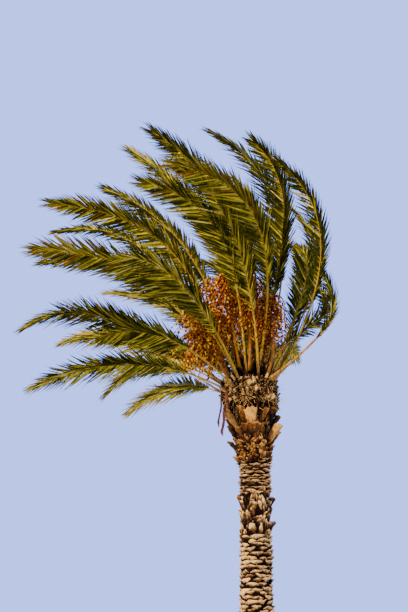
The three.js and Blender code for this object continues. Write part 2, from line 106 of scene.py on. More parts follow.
@dataclass(frozen=True)
class FrondPlan:
    """The way one frond leaves the head, and where and how its tip points."""

    turn: float
    rise: float
    tip: Triple
    heading: float
    dive: float
    spring: float = 0.35
    settle: float = 0.34
    roll: float = 0.0
    curl: float = 0.0
    bare: float = BLADE_START
    pairs: int = 237
    leaf: float = 1.0
    stout: float = 1.0
    brown: float = 0.09
    tone: Tone = Tone.GREEN


@dataclass(frozen=True)
class BunchPlan:
    """The way one stalk of dates leaves the head, and where its crook ends."""

    turn: float
    rise: float
    crook: Triple
    ripe: float = 0.0


@dataclass(frozen=True)
class SeatRing:
    """One ring of seats for stalks on the head."""

    radius: float
    height: float
    seats: int
    rise: float


SEAT_RINGS = (
    SeatRing(0.322, -0.195, 14, 18),
    SeatRing(0.318, -0.095, 14, 32),
    SeatRing(0.262, -0.012, 11, 48),
    SeatRing(0.192, 0.050, 10, 64),
    SeatRing(0.110, 0.096, 7, 78),
)

SEEN_FRONDS = (
    FrondPlan(205, 23, (-2.64, -1.2, -0.43), 182, 28, roll=42, leaf=0.92, tone=Tone.PALE),
    FrondPlan(200, 26, (-2.76, -1.3, 0.25), 182, 42, spring=0.4, roll=62, curl=-62, leaf=0.92),
    FrondPlan(140, 25, (-1.66, 2.1, -0.01), 150, 35, spring=0.3, roll=-38, leaf=1.1,
              tone=Tone.GOLD),
    FrondPlan(150, 35, (-2.01, 2.0, 0.22), 165, 48, roll=-40, leaf=1.05, tone=Tone.PALE),
    FrondPlan(160, 33, (-2.63, 1.5, 0.85), 178, 26, roll=-52, tone=Tone.GOLD),
    FrondPlan(145, 40, (-2.08, 2.2, 1.08), 165, 6, roll=-38, leaf=0.75),
    FrondPlan(135, 56, (-2.06, 2.2, 1.84), 168, -4, spring=0.38, roll=-35, leaf=1.1,
              tone=Tone.GOLD),
    FrondPlan(172, 51, (-2.9, 0.8, 1.81), 178, 14, spring=0.4, settle=0.4, roll=-48),
    FrondPlan(222, 52, (-2.74, -1.3, 1.28), 180, -2, spring=0.4, settle=0.5, roll=70, bare=0.28,
              tone=Tone.RUSSET),
    FrondPlan(165, 56, (-2.8, 0.9, 2.29), 178, 14, spring=0.42, settle=0.45, roll=-62,
              leaf=0.6, tone=Tone.DEEP_SHADED),
    FrondPlan(205, 66, (-2.69, -0.4, 2.25), 180, -5, spring=0.45, settle=0.5, roll=58, bare=0.31,
              leaf=0.86),
    FrondPlan(150, 70, (-2.1, 1.3, 3.19), 175, -25, spring=0.42, roll=-55, bare=0.28,
              tone=Tone.DEEP_SHADED),
    FrondPlan(255, 66, (-1.43, -1.3, 2.18), 182, -12, spring=0.5, settle=0.45, roll=58, bare=0.33),
    FrondPlan(120, 82, (-1.7, 0.6, 3.49), 180, -32, spring=0.45, roll=-52, bare=0.3),
    FrondPlan(290, 62, (-1.06, -1.8, 2.2), 190, -5, spring=0.52, settle=0.45, roll=55, bare=0.34,
              tone=Tone.RUSSET),
    FrondPlan(310, 80, (-1.36, -0.3, 3.39), 180, -38, spring=0.46, settle=0.45, roll=45,
              bare=0.33, tone=Tone.DEEP_SHADED),
    FrondPlan(70, 72, (-0.18, 1.8, 3.58), 160, -52, roll=-45, bare=0.3, tone=Tone.DEEP_SHADED),
    FrondPlan(20, 74, (-0.57, 0.8, 3.86), 180, -28, spring=0.5, roll=-38, bare=0.32,
              tone=Tone.DEEP_SHADED),
    FrondPlan(320, 76, (0.0, -0.3, 3.24), 180, -42, spring=0.49, roll=45, bare=0.26,
              tone=Tone.DEEP_SHADED),
    FrondPlan(340, 57, (0.26, -1.0, 2.64), 180, -36, spring=0.41, settle=0.44, roll=45, bare=0.36,
              pairs=144, leaf=0.76, tone=Tone.DEEP_SHADED),
    FrondPlan(20, 60, (0.63, 0.6, 2.56), 178, -44, spring=0.48, roll=-40, bare=0.38, pairs=114,
              leaf=0.78),
    FrondPlan(333, 34, (0.90, -0.35, 1.4), 160, -64, spring=0.72, settle=0.46, roll=30,
              bare=0.42, pairs=99, leaf=0.62, stout=2.3, brown=0.5),
    FrondPlan(350, 62, (0.94, 0.3, 1.3), 150, -56, spring=0.52, settle=0.46, roll=30, bare=0.28,
              pairs=111, leaf=0.8, tone=Tone.DEEP_SHADED),
    FrondPlan(60, 40, (0.7, 1.5, 0.65), 60, 40, tone=Tone.GOLD),
)


@dataclass(frozen=True)
class Tier:
    """Fronds behind and before the ones that show, blown over by the same wind."""

    rise: float
    reach: float
    height: float
    dive: float
    turns: tuple[float, ...]
    bare: float = 0.28
    pairs: int = 141
    leaf: float = 1.0
    tone: Tone = Tone.GREEN

    def plans(self) -> list[FrondPlan]:
        """Work out the plan of each frond in the tier.

        Returns:
            One plan for each turn.
        """
        plans = []
        for turn in self.turns:
            out = direction(turn, 0) * self.reach
            tip = (float(out[0]) - 0.75, float(out[1]), self.height)
            heading = math.degrees(math.atan2(tip[1], tip[0] - 1.2))
            roll = -40 if turn < 180 else 40
            plans.append(FrondPlan(turn, self.rise, tip, heading, self.dive, roll=roll,
                                   bare=self.bare, pairs=self.pairs, leaf=self.leaf,
                                   tone=self.tone))
        return plans


TIERS = (
    Tier(34, 1.7, 0.65, 30, (82, 102)),
    Tier(30, 1.75, 0.1, 40, (232,), bare=0.4),
    Tier(62, 1.5, 2.0, -15, (24,), bare=0.42, pairs=84, leaf=0.84),
    Tier(44, 1.85, 1.05, 20, (68, 90, 242)),
    Tier(58, 1.75, 2.15, -8, (37,), pairs=96, leaf=0.72, tone=Tone.DEEP_SHADED),
    Tier(58, 1.75, 2.15, -8, (88, 266)),
    Tier(78, 0.8, 2.35, -34, (80, 285)),
)

BUNCHES = (
    BunchPlan(200, 62, (-0.56, -0.34, 0.86)),
    BunchPlan(235, 66, (-0.33, -0.52, 1.18), ripe=0.3),
    BunchPlan(275, 70, (-0.02, -0.48, 1.2), ripe=0.9),
    BunchPlan(210, 48, (-0.62, -0.26, 0.5)),
    BunchPlan(330, 60, (0.27, -0.3, 0.98), ripe=0.9),
    BunchPlan(40, 58, (0.3, 0.44, 0.86), ripe=1.0),
    BunchPlan(108, 56, (-0.36, 0.52, 0.95), ripe=0.8),
)

# Small geometry helpers


def unit(vectors: Array) -> Array:
    """Return the vectors at length one."""
    return vectors / np.maximum(np.linalg.norm(vectors, axis=-1, keepdims=True), 1e-9)


def direction(turn: float, rise: float) -> Array:
    """Point a unit vector.

    Args:
        turn: Its turn from +X.
        rise: Its rise from the level.

    Returns:
        The vector.
    """
    level = math.cos(math.radians(rise))
    flat = math.radians(turn)
    return np.array([math.cos(flat) * level, math.sin(flat) * level, math.sin(math.radians(rise))])


def ramp(values: Array, start: float, end: float) -> Array:
    """Return how far each value lies from start to end, held between 0 and 1."""
    return np.clip((values - start) / (end - start), 0.0, 1.0)


def lean_at(height: Array) -> Array:
    """Return how far the stem stands over towards -X at each height."""
    share = ramp(height, LEAN_START, float(HEART[2]))
    return LEAN_TOP * share * share * (3 - 2 * share)


@dataclass(frozen=True)
class NoiseLayer:
    """Smooth noise on an upright round surface: cells in a turn, height of a cell, depth."""

    around: int
    pitch: float
    depth: float

    def over(self, rng: Rng, turn: Array, height: Array) -> Array:
        """Make the noise, without a seam.

        Args:
            rng: Seeded source of numbers.
            turn: Angle of each vertex about the axis.
            height: Height of each vertex.

        Returns:
            How far the noise moves each vertex, at most the depth either way.
        """
        column = turn / FULL_TURN % 1 * self.around
        row = (height - height.min()) / self.pitch
        lattice = rng.uniform(-1, 1, (int(row.max()) + 2, self.around))
        i, j = row.astype(int), column.astype(int) % self.around
        u, v = row - row.astype(int), column - column.astype(int)
        u, v = u * u * (3 - 2 * u), v * v * (3 - 2 * v)
        after = (j + 1) % self.around
        low = lattice[i, j] * (1 - v) + lattice[i, after] * v
        high = lattice[i + 1, j] * (1 - v) + lattice[i + 1, after] * v
        return (low * (1 - u) + high * u) * self.depth


def shape_arrays(form: bmesh.types.BMesh) -> Form:
    """Read a form into arrays and let go of it.

    Args:
        form: The form, of triangles and quads.

    Returns:
        Its vertices, and its faces grouped by their number of corners, in a fixed order.
    """
    mesh = bpy.data.meshes.new("form")
    form.to_mesh(mesh)
    form.free()
    points = np.empty(len(mesh.vertices) * 3, np.float32)
    mesh.vertices.foreach_get("co", points)
    corners = np.empty(len(mesh.loops), np.int32)
    mesh.loops.foreach_get("vertex_index", corners)
    starts = np.empty(len(mesh.polygons), np.int32)
    sizes = np.empty(len(mesh.polygons), np.int32)
    mesh.polygons.foreach_get("loop_start", starts)
    mesh.polygons.foreach_get("loop_total", sizes)
    bpy.data.meshes.remove(mesh)
    faces = []
    for n in np.unique(sizes):
        group = corners[starts[sizes == n][:, None] + np.arange(n)]
        faces.append(group[np.lexsort(group.T[::-1])])
    return points.reshape(-1, 3).astype(float), faces


def rough_form(rng: Rng, outline: tuple[Array, Array], columns: int,
               layers: tuple[NoiseLayer, ...],
               poles: tuple[float, float] | None = None) -> tuple[Array, list[Array], Array]:
    """Turn an outline about the upright axis and roughen its side.

    Args:
        rng: Seeded source of numbers.
        outline: Radii and heights of the side, from the bottom up.
        columns: Sides of the turned form.
        layers: Layers of noise on the side.
        poles: Heights at which its two ends close on the axis, where they aren't flat.

    Returns:
        Its vertices, its faces, and how far the noise moved each vertex.
    """
    side = list(zip(*(values.tolist() for values in outline)))
    low, high = poles or (side[0][1], side[-1][1])
    profile = [(0.0, low), *side, (0.0, high)]
    form = bmesh.new()
    knots = [form.verts.new((radius, 0, height)) for radius, height in profile]
    edges = [form.edges.new(pair) for pair in zip(knots, knots[1:])]
    bmesh.ops.spin(form, geom=[*knots, *edges], cent=(0, 0, 0), axis=(0, 0, 1), dvec=(0, 0, 0),
                   angle=FULL_TURN, steps=columns, use_merge=True)
    bmesh.ops.remove_doubles(form, verts=form.verts[:], dist=1e-6)
    bmesh.ops.recalc_face_normals(form, faces=form.faces[:])
    points, faces = shape_arrays(form)
    turn = np.arctan2(points[:, 1], points[:, 0])
    rough = sum(layer.over(rng, turn, points[:, 2]) for layer in layers)
    rough = rough * (np.hypot(points[:, 0], points[:, 1]) > NEAR_AXIS)
    points[:, 0] += np.cos(turn) * rough
    points[:, 1] += np.sin(turn) * rough
    return points, faces, rough


class MeshArrays:
    """Gathers many small shapes as arrays and makes one mesh object of them."""

    def __init__(self) -> None:
        """Start with nothing gathered."""
        self.points: list[Array] = []
        self.faces: list[Array] = []
        self.slots: list[Array] = []
        self.tones: list[Array] = []
        self.count = 0

    def add(self, points: Array, *faces: Array, slot: int = 0, tone: float | Array = 0.5) -> None:
        """Add one shape.

        Args:
            points: Its vertices, one row each.
            faces: Groups of its faces, by index into the points.
            slot: The material slot of all its faces.
            tone: A value for each vertex, or one for all of them.
        """
        for group in faces:
            self.faces.append(group + self.count)
            self.slots.append(np.full(len(group), slot))
        self.points.append(points)
        self.tones.append(np.broadcast_to(np.asarray(tone, float), (len(points),)))
        self.count += len(points)

    def triangles(self) -> int:
        """Return how many triangles the gathered faces come to."""
        return sum(len(f) * (f.shape[1] - 2) for f in self.faces)

    def build(self, name: str, materials: list[bpy.types.Material],
              smooth: bool = True) -> Piece:
        """Make the mesh object.

        Args:
            name: Name of the object.
            materials: Its material slots, in order.
            smooth: Whether the faces are shaded smooth.

        Returns:
            The object, linked to the scene.
        """
        mesh = bpy.data.meshes.new(name)
        points = np.concatenate(self.points).astype(np.float32)
        sizes = np.concatenate([np.full(len(f), f.shape[1]) for f in self.faces])
        corners = np.concatenate([f.ravel() for f in self.faces])
        mesh.vertices.add(len(points))
        mesh.vertices.foreach_set("co", points.ravel())
        mesh.loops.add(len(corners))
        mesh.loops.foreach_set("vertex_index", corners.astype(np.int32))
        mesh.polygons.add(len(sizes))
        starts = np.concatenate([[0], np.cumsum(sizes)[:-1]])
        mesh.polygons.foreach_set("loop_start", starts.astype(np.int32))
        mesh.polygons.foreach_set("material_index", np.concatenate(self.slots).astype(np.int32))
        mesh.polygons.foreach_set("use_smooth", np.full(len(sizes), smooth))
        tone = mesh.attributes.new("tone", "FLOAT", "POINT")
        tone.data.foreach_set("value", np.concatenate(self.tones).astype(np.float32))
        for material in materials:
            mesh.materials.append(material)
        mesh.update(calc_edges=True)
        mesh.validate()
        return link(name, mesh)


def link(name: str, data: bpy.types.ID) -> Piece:
    """Put a mesh, camera or light in the scene as an object at the origin.

    Args:
        name: Name of the object.
        data: What it shows.

    Returns:
        The new object.
    """
    item = bpy.data.objects.new(name, data)
    bpy.context.scene.collection.objects.link(item)
    return item


def seat_piece(item: Piece, nodes: list[str]) -> Piece:
    """Let a finished piece ride on the palm and stand for its solids.

    Args:
        item: The piece.
        nodes: The solids that it stands for.

    Returns:
        The same piece.
    """
    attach(item, "root")
    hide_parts(*nodes)
    return item


def ring_faces(rings: int, sides: int) -> Array:
    """List the quads between closed rings that follow each other.

    Args:
        rings: How many rings there are.
        sides: Vertices in a ring.

    Returns:
        Quads that face outwards.
    """
    ring = np.arange(rings - 1)[:, None] * sides
    side = np.arange(sides)[None, :]
    after = (side + 1) % sides
    quads = np.stack([ring + side, ring + after, ring + sides + after, ring + sides + side], -1)
    return quads.reshape(-1, 4)


def end_faces(rings: int, sides: int) -> Array:
    """List the triangles that close the first and the last ring.

    Args:
        rings: How many rings there are.
        sides: Vertices in a ring.

    Returns:
        Triangles that face outwards.
    """
    fan = np.arange(1, sides - 1)
    last = (rings - 1) * sides
    return np.concatenate([
        np.stack([np.zeros_like(fan), fan + 1, fan], -1),
        np.stack([np.full_like(fan, last), last + fan, last + fan + 1], -1),
    ])


def tube(arrays: MeshArrays, line: Array, radii: Array, sides: int, slot: int = 0,
         tone: float = 0.5) -> None:
    """Add a closed tapering tube along a line of points.

    Args:
        arrays: Where it is gathered.
        line: Points along its middle.
        radii: Its radius at each point.
        sides: Sides of its section.
        slot: Material slot.
        tone: Tone of all its vertices.
    """
    askew = np.array([0.13, 0.21, 1.0])
    along = unit(np.gradient(line, axis=0))
    aside = unit(np.cross(along, askew))
    face = np.cross(along, aside)
    angle = (np.arange(sides) / sides * FULL_TURN)[None, :, None]
    spokes = np.cos(angle) * aside[:, None] + np.sin(angle) * face[:, None]
    ring = line[:, None] + radii[:, None, None] * spokes
    arrays.add(ring.reshape(-1, 3), ring_faces(len(line), sides), end_faces(len(line), sides),
               slot=slot, tone=tone)


# Finishes


def add_node(tree: bpy.types.NodeTree, kind: str, **inputs: float | Colour) -> bpy.types.Node:
    """Add a shader node.

    Args:
        tree: The material's nodes.
        kind: Kind of node.
        inputs: Values of its inputs, by their names.

    Returns:
        The new node.
    """
    node = tree.nodes.new("ShaderNode" + kind)
    for name, value in inputs.items():
        node.inputs[name].default_value = value
    return node


@dataclass(frozen=True)
class Finish:
    """A dry natural surface: a few colours, mottled by noise, with a fine relief."""

    name: str
    dark: Colour
    light: Colour
    roughness: float = 0.8
    scale: float = 40.0
    stretch: Triple = (1.0, 1.0, 1.0)
    relief: float = 0.2
    depth: float = 0.004
    by_tone: bool = False
    middle: Colour | None = None
    gloss: float = 0.12
    sheen: Colour = (1.0, 1.0, 1.0)

    def material(self) -> bpy.types.Material:
        """Build the material of this finish.

        Returns:
            A node material that reads Object coordinates and, where asked, the tone attribute.
        """
        made = bpy.data.materials.new(self.name)
        made.use_nodes = True
        tree = made.node_tree
        shader = tree.nodes["Principled BSDF"]
        shader.inputs["Roughness"].default_value = self.roughness
        shader.inputs["Specular IOR Level"].default_value = self.gloss
        shader.inputs["Specular Tint"].default_value = (*self.sheen, 1.0)
        place = add_node(tree, "TexCoord")
        turn = add_node(tree, "Mapping", Scale=self.stretch)
        mottle = add_node(tree, "TexNoise", Scale=self.scale, Detail=6.0, Roughness=0.65)
        tree.links.new(place.outputs["Object"], turn.inputs["Vector"])
        tree.links.new(turn.outputs["Vector"], mottle.inputs["Vector"])
        colours = add_node(tree, "ValToRGB")
        stops = colours.color_ramp.elements
        ends = (0.12, 0.88) if self.by_tone else (0.32, 0.68)
        for stop, colour, position in zip(stops, (self.dark, self.light), ends):
            stop.color = (*colour, 1.0)
            stop.position = position
        if self.middle:
            stops.new(0.5).color = (*self.middle, 1.0)
        drive = self.toned(tree, mottle) if self.by_tone else mottle.outputs["Fac"]
        tree.links.new(drive, colours.inputs["Fac"])
        tree.links.new(colours.outputs["Color"], shader.inputs["Base Color"])
        if self.relief > 0:
            bump = add_node(tree, "Bump", Strength=self.relief, Distance=self.depth)
            tree.links.new(mottle.outputs["Fac"], bump.inputs["Height"])
            tree.links.new(bump.outputs["Normal"], shader.inputs["Normal"])
        return made

    def toned(self, tree: bpy.types.NodeTree, mottle: bpy.types.Node) -> bpy.types.NodeSocket:
        """Spread the noise about the tone that each vertex has.

        Args:
            tree: The material's nodes.
            mottle: The noise.

        Returns:
            The socket that drives the colours.
        """
        tone = add_node(tree, "Attribute")
        tone.attribute_name = "tone"
        spread = add_node(tree, "Math")
        spread.operation = "SUBTRACT"
        spread.inputs[1].default_value = 0.5
        blend = add_node(tree, "Math")
        blend.operation = "MULTIPLY_ADD"
        blend.inputs[1].default_value = 1.1
        tree.links.new(mottle.outputs["Fac"], spread.inputs[0])
        tree.links.new(spread.outputs[0], blend.inputs[0])
        tree.links.new(tone.outputs["Fac"], blend.inputs[2])
        return blend.outputs[0]


def leaf_finish(tint: Tint, dark: Colour, light: Colour, roughness: float, gloss: float,
                middle: Colour | None = None) -> Finish:
    """Describe a leaflet's finish.

    Args:
        tint: The tint, which gives the name.
        dark: Its darkest colour.
        light: Its lightest colour.
        roughness: How rough it is.
        gloss: How strong its highlight is.
        middle: The colour between them, for a leaflet that follows its tone.

    Returns:
        The finish.
    """
    return Finish(f"leaf_{tint.name.lower()}", dark, light, roughness, 9.0, relief=0.0,
                  by_tone=middle is not None, middle=middle, gloss=gloss, sheen=(1.0, 0.84, 0.25))


# The near-black dark ends of the bark, boot and fibre finishes show where the tone is laid low,
# mostly as painted shade in gaps, hollows and on backs.
BARK = Finish("palm_bark", (0.004, 0.0015, 0.0005), (0.76, 0.42, 0.11), 0.92, 34.0, (1, 1, 0.4),
              0.8, 0.010, by_tone=True, middle=(0.100, 0.039, 0.009), gloss=0.04)
BOOT = Finish("cut_boot", (0.006, 0.002, 0.0005), (0.56, 0.24, 0.034), 0.85, 34.0, (1, 1, 0.2),
              0.6, 0.006, by_tone=True, middle=(0.12, 0.038, 0.005), gloss=0.04)
FIBRE = Finish("leaf_fibre", (0.003, 0.0012, 0.0004), (0.80, 0.42, 0.09), 0.95, 38.0, (1, 1, 0.6),
               0.8, 0.006, by_tone=True, middle=(0.066, 0.023, 0.004), gloss=0.04)
SHEATH = Finish("dry_sheath", (0.05, 0.012, 0.005), (0.36, 0.10, 0.03), 0.8, 36.0, (1, 1, 0.2),
                0.4, 0.003)
STALK_TINTS = (
    Finish("stalk_base", (0.018, 0.006, 0.001), (0.50, 0.23, 0.026), 0.6, 60.0, (1, 1, 0.12), 0.4,
           gloss=0.04),
    Finish("stalk_gold", (0.03, 0.014, 0.001), (0.60, 0.32, 0.012), 0.5, 60.0, (1, 1, 0.12), 0.3,
           gloss=0.06),
    Finish("rib_olive", (0.13, 0.066, 0.003), (0.40, 0.22, 0.012), 0.5, 30.0, relief=0.1,
           gloss=0.05),
    Finish("rib_tip", (0.14, 0.072, 0.004), (0.36, 0.20, 0.012), 0.5, 30.0, relief=0.1,
           gloss=0.05),
)
# Shade and sunlit are one olive leaflet with painted shade and painted sunlight; straw and russet
# are dry colours, straw partly a painted highlight.
LEAF_TINTS = (
    leaf_finish(Tint.SHADE, (0.005, 0.006, 0.0005), (0.30, 0.21, 0.012), 0.5, 0.02,
                middle=(0.026, 0.024, 0.001)),
    leaf_finish(Tint.OLIVE, (0.036, 0.034, 0.002), (0.46, 0.33, 0.025), 0.42, 0.04,
                middle=(0.090, 0.073, 0.003)),
    leaf_finish(Tint.SUNLIT, (0.13, 0.106, 0.004), (0.74, 0.54, 0.035), 0.42, 0.05,
                middle=(0.33, 0.25, 0.010)),
    leaf_finish(Tint.STRAW, (0.32, 0.24, 0.025), (0.54, 0.42, 0.07), 0.45, 0.05),
    leaf_finish(Tint.RUSSET, (0.15, 0.05, 0.002), (0.30, 0.11, 0.006), 0.5, 0.04),
)
STRAND = Finish("date_strand", (0.16, 0.045, 0.002), (0.46, 0.17, 0.006), 0.5, 18.0, relief=0.1)
DATE_TINTS = tuple(
    Finish(name, dark, light, 0.4, 30.0, relief=0.05, gloss=0.04)
    for name, dark, light in (
        ("date_amber", (0.24, 0.040, 0.0005), (0.50, 0.125, 0.001)),
        ("date_yellow", (0.56, 0.22, 0.002), (0.92, 0.46, 0.006)),
        ("date_red", (0.024, 0.002, 0.0004), (0.17, 0.013, 0.0006)),
    )
)

# Cut leaf bases


def neck_radius(height: Array | float) -> Array | float:
    """Return the radius of the neck under the boots at each height."""
    return NECK_RADIUS + NECK_WIDENING * ramp(height, TRUNK_TOP, HEAD_FOOT) ** 1.5


@dataclass(frozen=True)
class Boot:
    """One cut leaf base: a thick trough that stands out of the neck and is cut at its upper end."""

    turn: float
    height: float
    width: float = 0.15
    length: float = 0.24
    thick: float = 0.042
    splay: float = 25.0
    skew: float = 0.0
    hollow: float = 0.03
    point: float = 0.0
    light: float = 0.0
    cuts: int = 7

    def mesh(self, rng: Rng) -> tuple[Array, list[Array], Array]:
        """Shape the boot from a subdivided block.

        Args:
            rng: Seeded source of numbers.

        Returns:
            Its vertices, faces and tones, rooted at the origin and standing along +Z.
        """
        block = bmesh.new()
        bmesh.ops.create_cube(block, size=1.0)
        bmesh.ops.subdivide_edges(block, edges=block.edges[:], cuts=self.cuts, use_grid_fill=True)
        points, faces = shape_arrays(block)
        phase = rng.uniform(0, LAST_PHASE, 4)
        across, through, up = points[:, 0] * 2, points[:, 1], points[:, 2] + 0.5
        wide = self.width / 2 * (0.72 + 0.28 * np.minimum(1, up * 1.3)) * (1 - self.point * up)
        wavy = 1 + 0.06 * np.sin(up * 14 + phase[2])
        trough = self.hollow * across**2 * (0.4 + up)
        ripple = 0.004 * np.sin(up * 19 + across * 5 + phase[2])
        fray = 0.012 * np.sin(across * 9 + phase[0]) + 0.010 * np.sin(across * 23 + phase[1])
        shaped = np.stack([
            wide * across * wavy,
            through * self.thick * (1 - 0.45 * across**4) + trough + ripple,
            up * self.length + (fray - 0.035 * across**2) * up,
        ], 1)
        shaped += rng.uniform(-0.05, 0.05, shaped.shape) * self.thick
        cut_end, rim, back = up > 0.98, np.abs(across) > 0.95, through > 0.4
        # The back, which lies against the neck, is toned down as painted shade; the tone also rises
        # towards the cut end and falls at the side rims.
        tone = 0.22 + 0.36 * up + 0.14 * np.sin(across * 27 + phase[3]) + self.light
        tone += 0.2 * cut_end - 0.2 * rim - 0.3 * back + rng.uniform(-0.12, 0.12, len(tone))
        return shaped, faces, np.clip(tone, 0, 1)

    def add(self, arrays: MeshArrays, radius: float, rng: Rng, lean: bool = True) -> None:
        """Stand the boot on the stem, the neck or the drum.

        Args:
            arrays: Where it is gathered.
            radius: Radius of the surface that it stands on.
            rng: Seeded source of numbers.
            lean: Whether it follows the lean at its height, or stands over as the head does.
        """
        points, faces, tone = self.mesh(rng)
        place = np.array(
            Matrix.Rotation(math.radians(self.turn + 90), 4, "Z")
            @ Matrix.Translation((0, -radius + self.thick * 0.3, self.height))
            @ Matrix.Rotation(math.radians(self.splay), 4, "X")
            @ Matrix.Rotation(math.radians(self.skew), 4, "Y")
        )
        points = points @ place[:3, :3].T + place[:3, 3]
        points[:, 0] += lean_at(points[:, 2]) if lean else LEAN_TOP
        arrays.add(points, *faces, tone=tone)


SIDE_STUBS = tuple(
    Boot(turn, height, 0.07, length, thick=0.03, splay=splay, point=point, light=-0.1, cuts=3)
    for turn, height, length, splay, point in (
        (186, 3.86, 0.14, 30, 0.7),
        (352, 3.82, 0.14, 30, 0.7),
        (356, 3.56, 0.12, 34, 0.6),
        (205, 3.42, 0.10, 26, 0.5),
    )
)

# Trunk


@dataclass(frozen=True)
class ScarZone:
    """A stretch of the trunk whose leaf scars are alike."""

    top: float
    pitch: float
    around: int
    high: float
    depth: float
    light: float = 0.0
    upright: bool = False


@dataclass
class Trunk:
    """The stem under its old leaf scars, pale lenses with dark gaps between them, the gaps darkened
    with painted shade.

    Its waist and its swell are given by their height, their spread and what they add.
    """

    columns: int = 96
    rows: int = 300
    sunk: float = 0.024
    overlap: float = 0.02
    first_row: float = 0.03
    waist: tuple[float, ...] = (3.95, 0.42, -0.014)
    swell: tuple[float, ...] = (2.6, 0.7, 0.010)
    noise: NoiseLayer = NoiseLayer(60, 0.03, 0.007)
    zones: tuple[ScarZone, ...] = (
        ScarZone(3.50, 0.053, 8, 0.060, 0.046, light=0.20),
        ScarZone(3.99, 0.044, 12, 0.090, 0.030, upright=True),
        ScarZone(4.60, 0.035, 8, 0.035, 0.060, light=0.10),
    )
    seed: int = 11

    def radius(self, height: Array | float) -> Array | float:
        """Work out the mean radius of the stem.

        Args:
            height: The heights.

        Returns:
            The radius at each height.
        """
        flare = (FLARE_RADIUS - TRUNK_RADIUS) * np.exp(-height / FLARE_HEIGHT)
        return TRUNK_RADIUS + flare + sum(
            gain * np.exp(-(((height - middle) / spread) ** 2))
            for middle, spread, gain in (self.waist, self.swell))

    def lens(self) -> Form:
        """Shape one scar of unit size, with its two ends on the level.

        Returns:
            Its vertices and faces.
        """
        ball = bmesh.new()
        bmesh.ops.create_uvsphere(ball, u_segments=8, v_segments=7, radius=1.0)
        bmesh.ops.rotate(ball, verts=ball.verts[:], cent=(0, 0, 0),
                         matrix=Matrix.Rotation(math.pi / 2, 3, "Y"))
        return shape_arrays(ball)

    def scar(self, arrays: MeshArrays, lens: Form, zone: ScarZone, place: float, level: float,
             rng: Rng) -> None:
        """Add one scar: a lens with a flat face, that stands out furthest at its upper lip.

        Args:
            arrays: Where it is gathered.
            lens: Vertices and faces of a scar of unit size.
            zone: Zone of the row.
            place: Place of the scar in its row.
            level: Height of the row.
            rng: Seeded source of numbers.
        """
        shape, faces = lens
        across = shape[:, 0]
        section = shape[:, 1:] / np.maximum(np.hypot(shape[:, 1], shape[:, 2]), 1e-6)[:, None]
        boxy = np.sign(section) * np.abs(section) ** 0.45
        boxy += rng.uniform(-0.20, 0.20, boxy.shape)
        through, up = -boxy[:, 0], boxy[:, 1]
        high = zone.high / 2 * rng.uniform(0.66, 1.12) * (1 - np.abs(across) ** 1.9)
        depth = zone.depth * rng.uniform(0.5, 1.2) * np.sqrt(1 - np.abs(across) ** 3)
        half = math.pi / zone.around * rng.uniform(0.72, 1.36)
        turn = (place + rng.uniform(-0.16, 0.16)) / zone.around * FULL_TURN + across * half
        level = level + rng.uniform(-0.22, 0.22) * zone.pitch
        height = level + high * up + rng.uniform(-0.012, 0.012) * across
        height += 0.005 * np.sin(across * 6 + rng.uniform(0, LAST_PHASE))
        height = np.maximum(height + rng.uniform(-0.3, 0.5) * zone.high * across**2, 0)
        out = depth * np.where(through > 0, through * (0.55 + 0.45 * up), through * 0.5)
        radius = self.radius(height) - self.sunk + out
        points = np.stack([np.cos(turn) * radius, np.sin(turn) * radius, height], 1)
        points[:, 0] += lean_at(height)
        # The outer face pales towards the upper lip as painted light from above, and the back and
        # sides of each scar get a low tone as painted shade in the gaps.
        tone = np.where(through > 0.3, 0.50 + 0.30 * up, 0.10) + zone.light
        tone = tone + rng.uniform(-0.22, 0.16) + rng.uniform(-0.12, 0.12, len(tone))
        arrays.add(points, *faces, tone=np.clip(tone, 0, 1))

    def stub(self, turn: float, height: float, rng: Rng) -> Boot:
        """Choose one upright stub of an old leaf.

        Args:
            turn: Its place round the stem, in degrees.
            height: Height of its foot.
            rng: Seeded source of numbers.

        Returns:
            The stub.
        """
        return Boot(turn + rng.uniform(-8, 8), height + rng.uniform(-0.02, 0.02),
                    rng.uniform(0.035, 0.11), rng.uniform(0.05, 0.14), thick=0.022,
                    splay=rng.uniform(4, 24), skew=rng.uniform(-36, 36), hollow=0.006,
                    point=rng.uniform(-0.2, 0.8), light=rng.uniform(-0.34, 0.26), cuts=2)

    def build(self) -> Piece:
        """Make the bark.

        Returns:
            The finished piece.
        """
        rng = np.random.default_rng(self.seed)
        arrays = MeshArrays()
        levels = np.linspace(0, TRUNK_TOP + self.overlap, self.rows)
        outline = self.radius(levels) - self.sunk, levels
        points, faces, rough = rough_form(rng, outline, self.columns, (self.noise,))
        points[:, 0] += lean_at(points[:, 2])
        # The bare stem under the scars is toned near black, and darker still where the noise sinks
        # it: painted shade in the gaps between the scars.
        arrays.add(points, *faces, tone=np.clip(0.05 + 0.12 * rough / self.noise.depth, 0, 1))
        lens = self.lens()
        level, row = self.first_row, 0
        for zone in self.zones:
            while level < zone.top:
                for i in range(zone.around):
                    place = i + 0.5 * (row % 2)
                    if zone.upright:
                        boot = self.stub(place / zone.around * 360, level - self.first_row, rng)
                        boot.add(arrays, float(self.radius(level)) - 0.02, rng)
                    else:
                        self.scar(arrays, lens, zone, place, level, rng)
                level += zone.pitch * rng.uniform(0.9, 1.1)
                row += 1
        for spike in SIDE_STUBS:
            spike.add(arrays, float(self.radius(spike.height)) - 0.01, rng)
        bark = arrays.build("trunk_bark", [BARK.material()], smooth=False)
        return seat_piece(bark, ["trunk"])


# Boot band and head

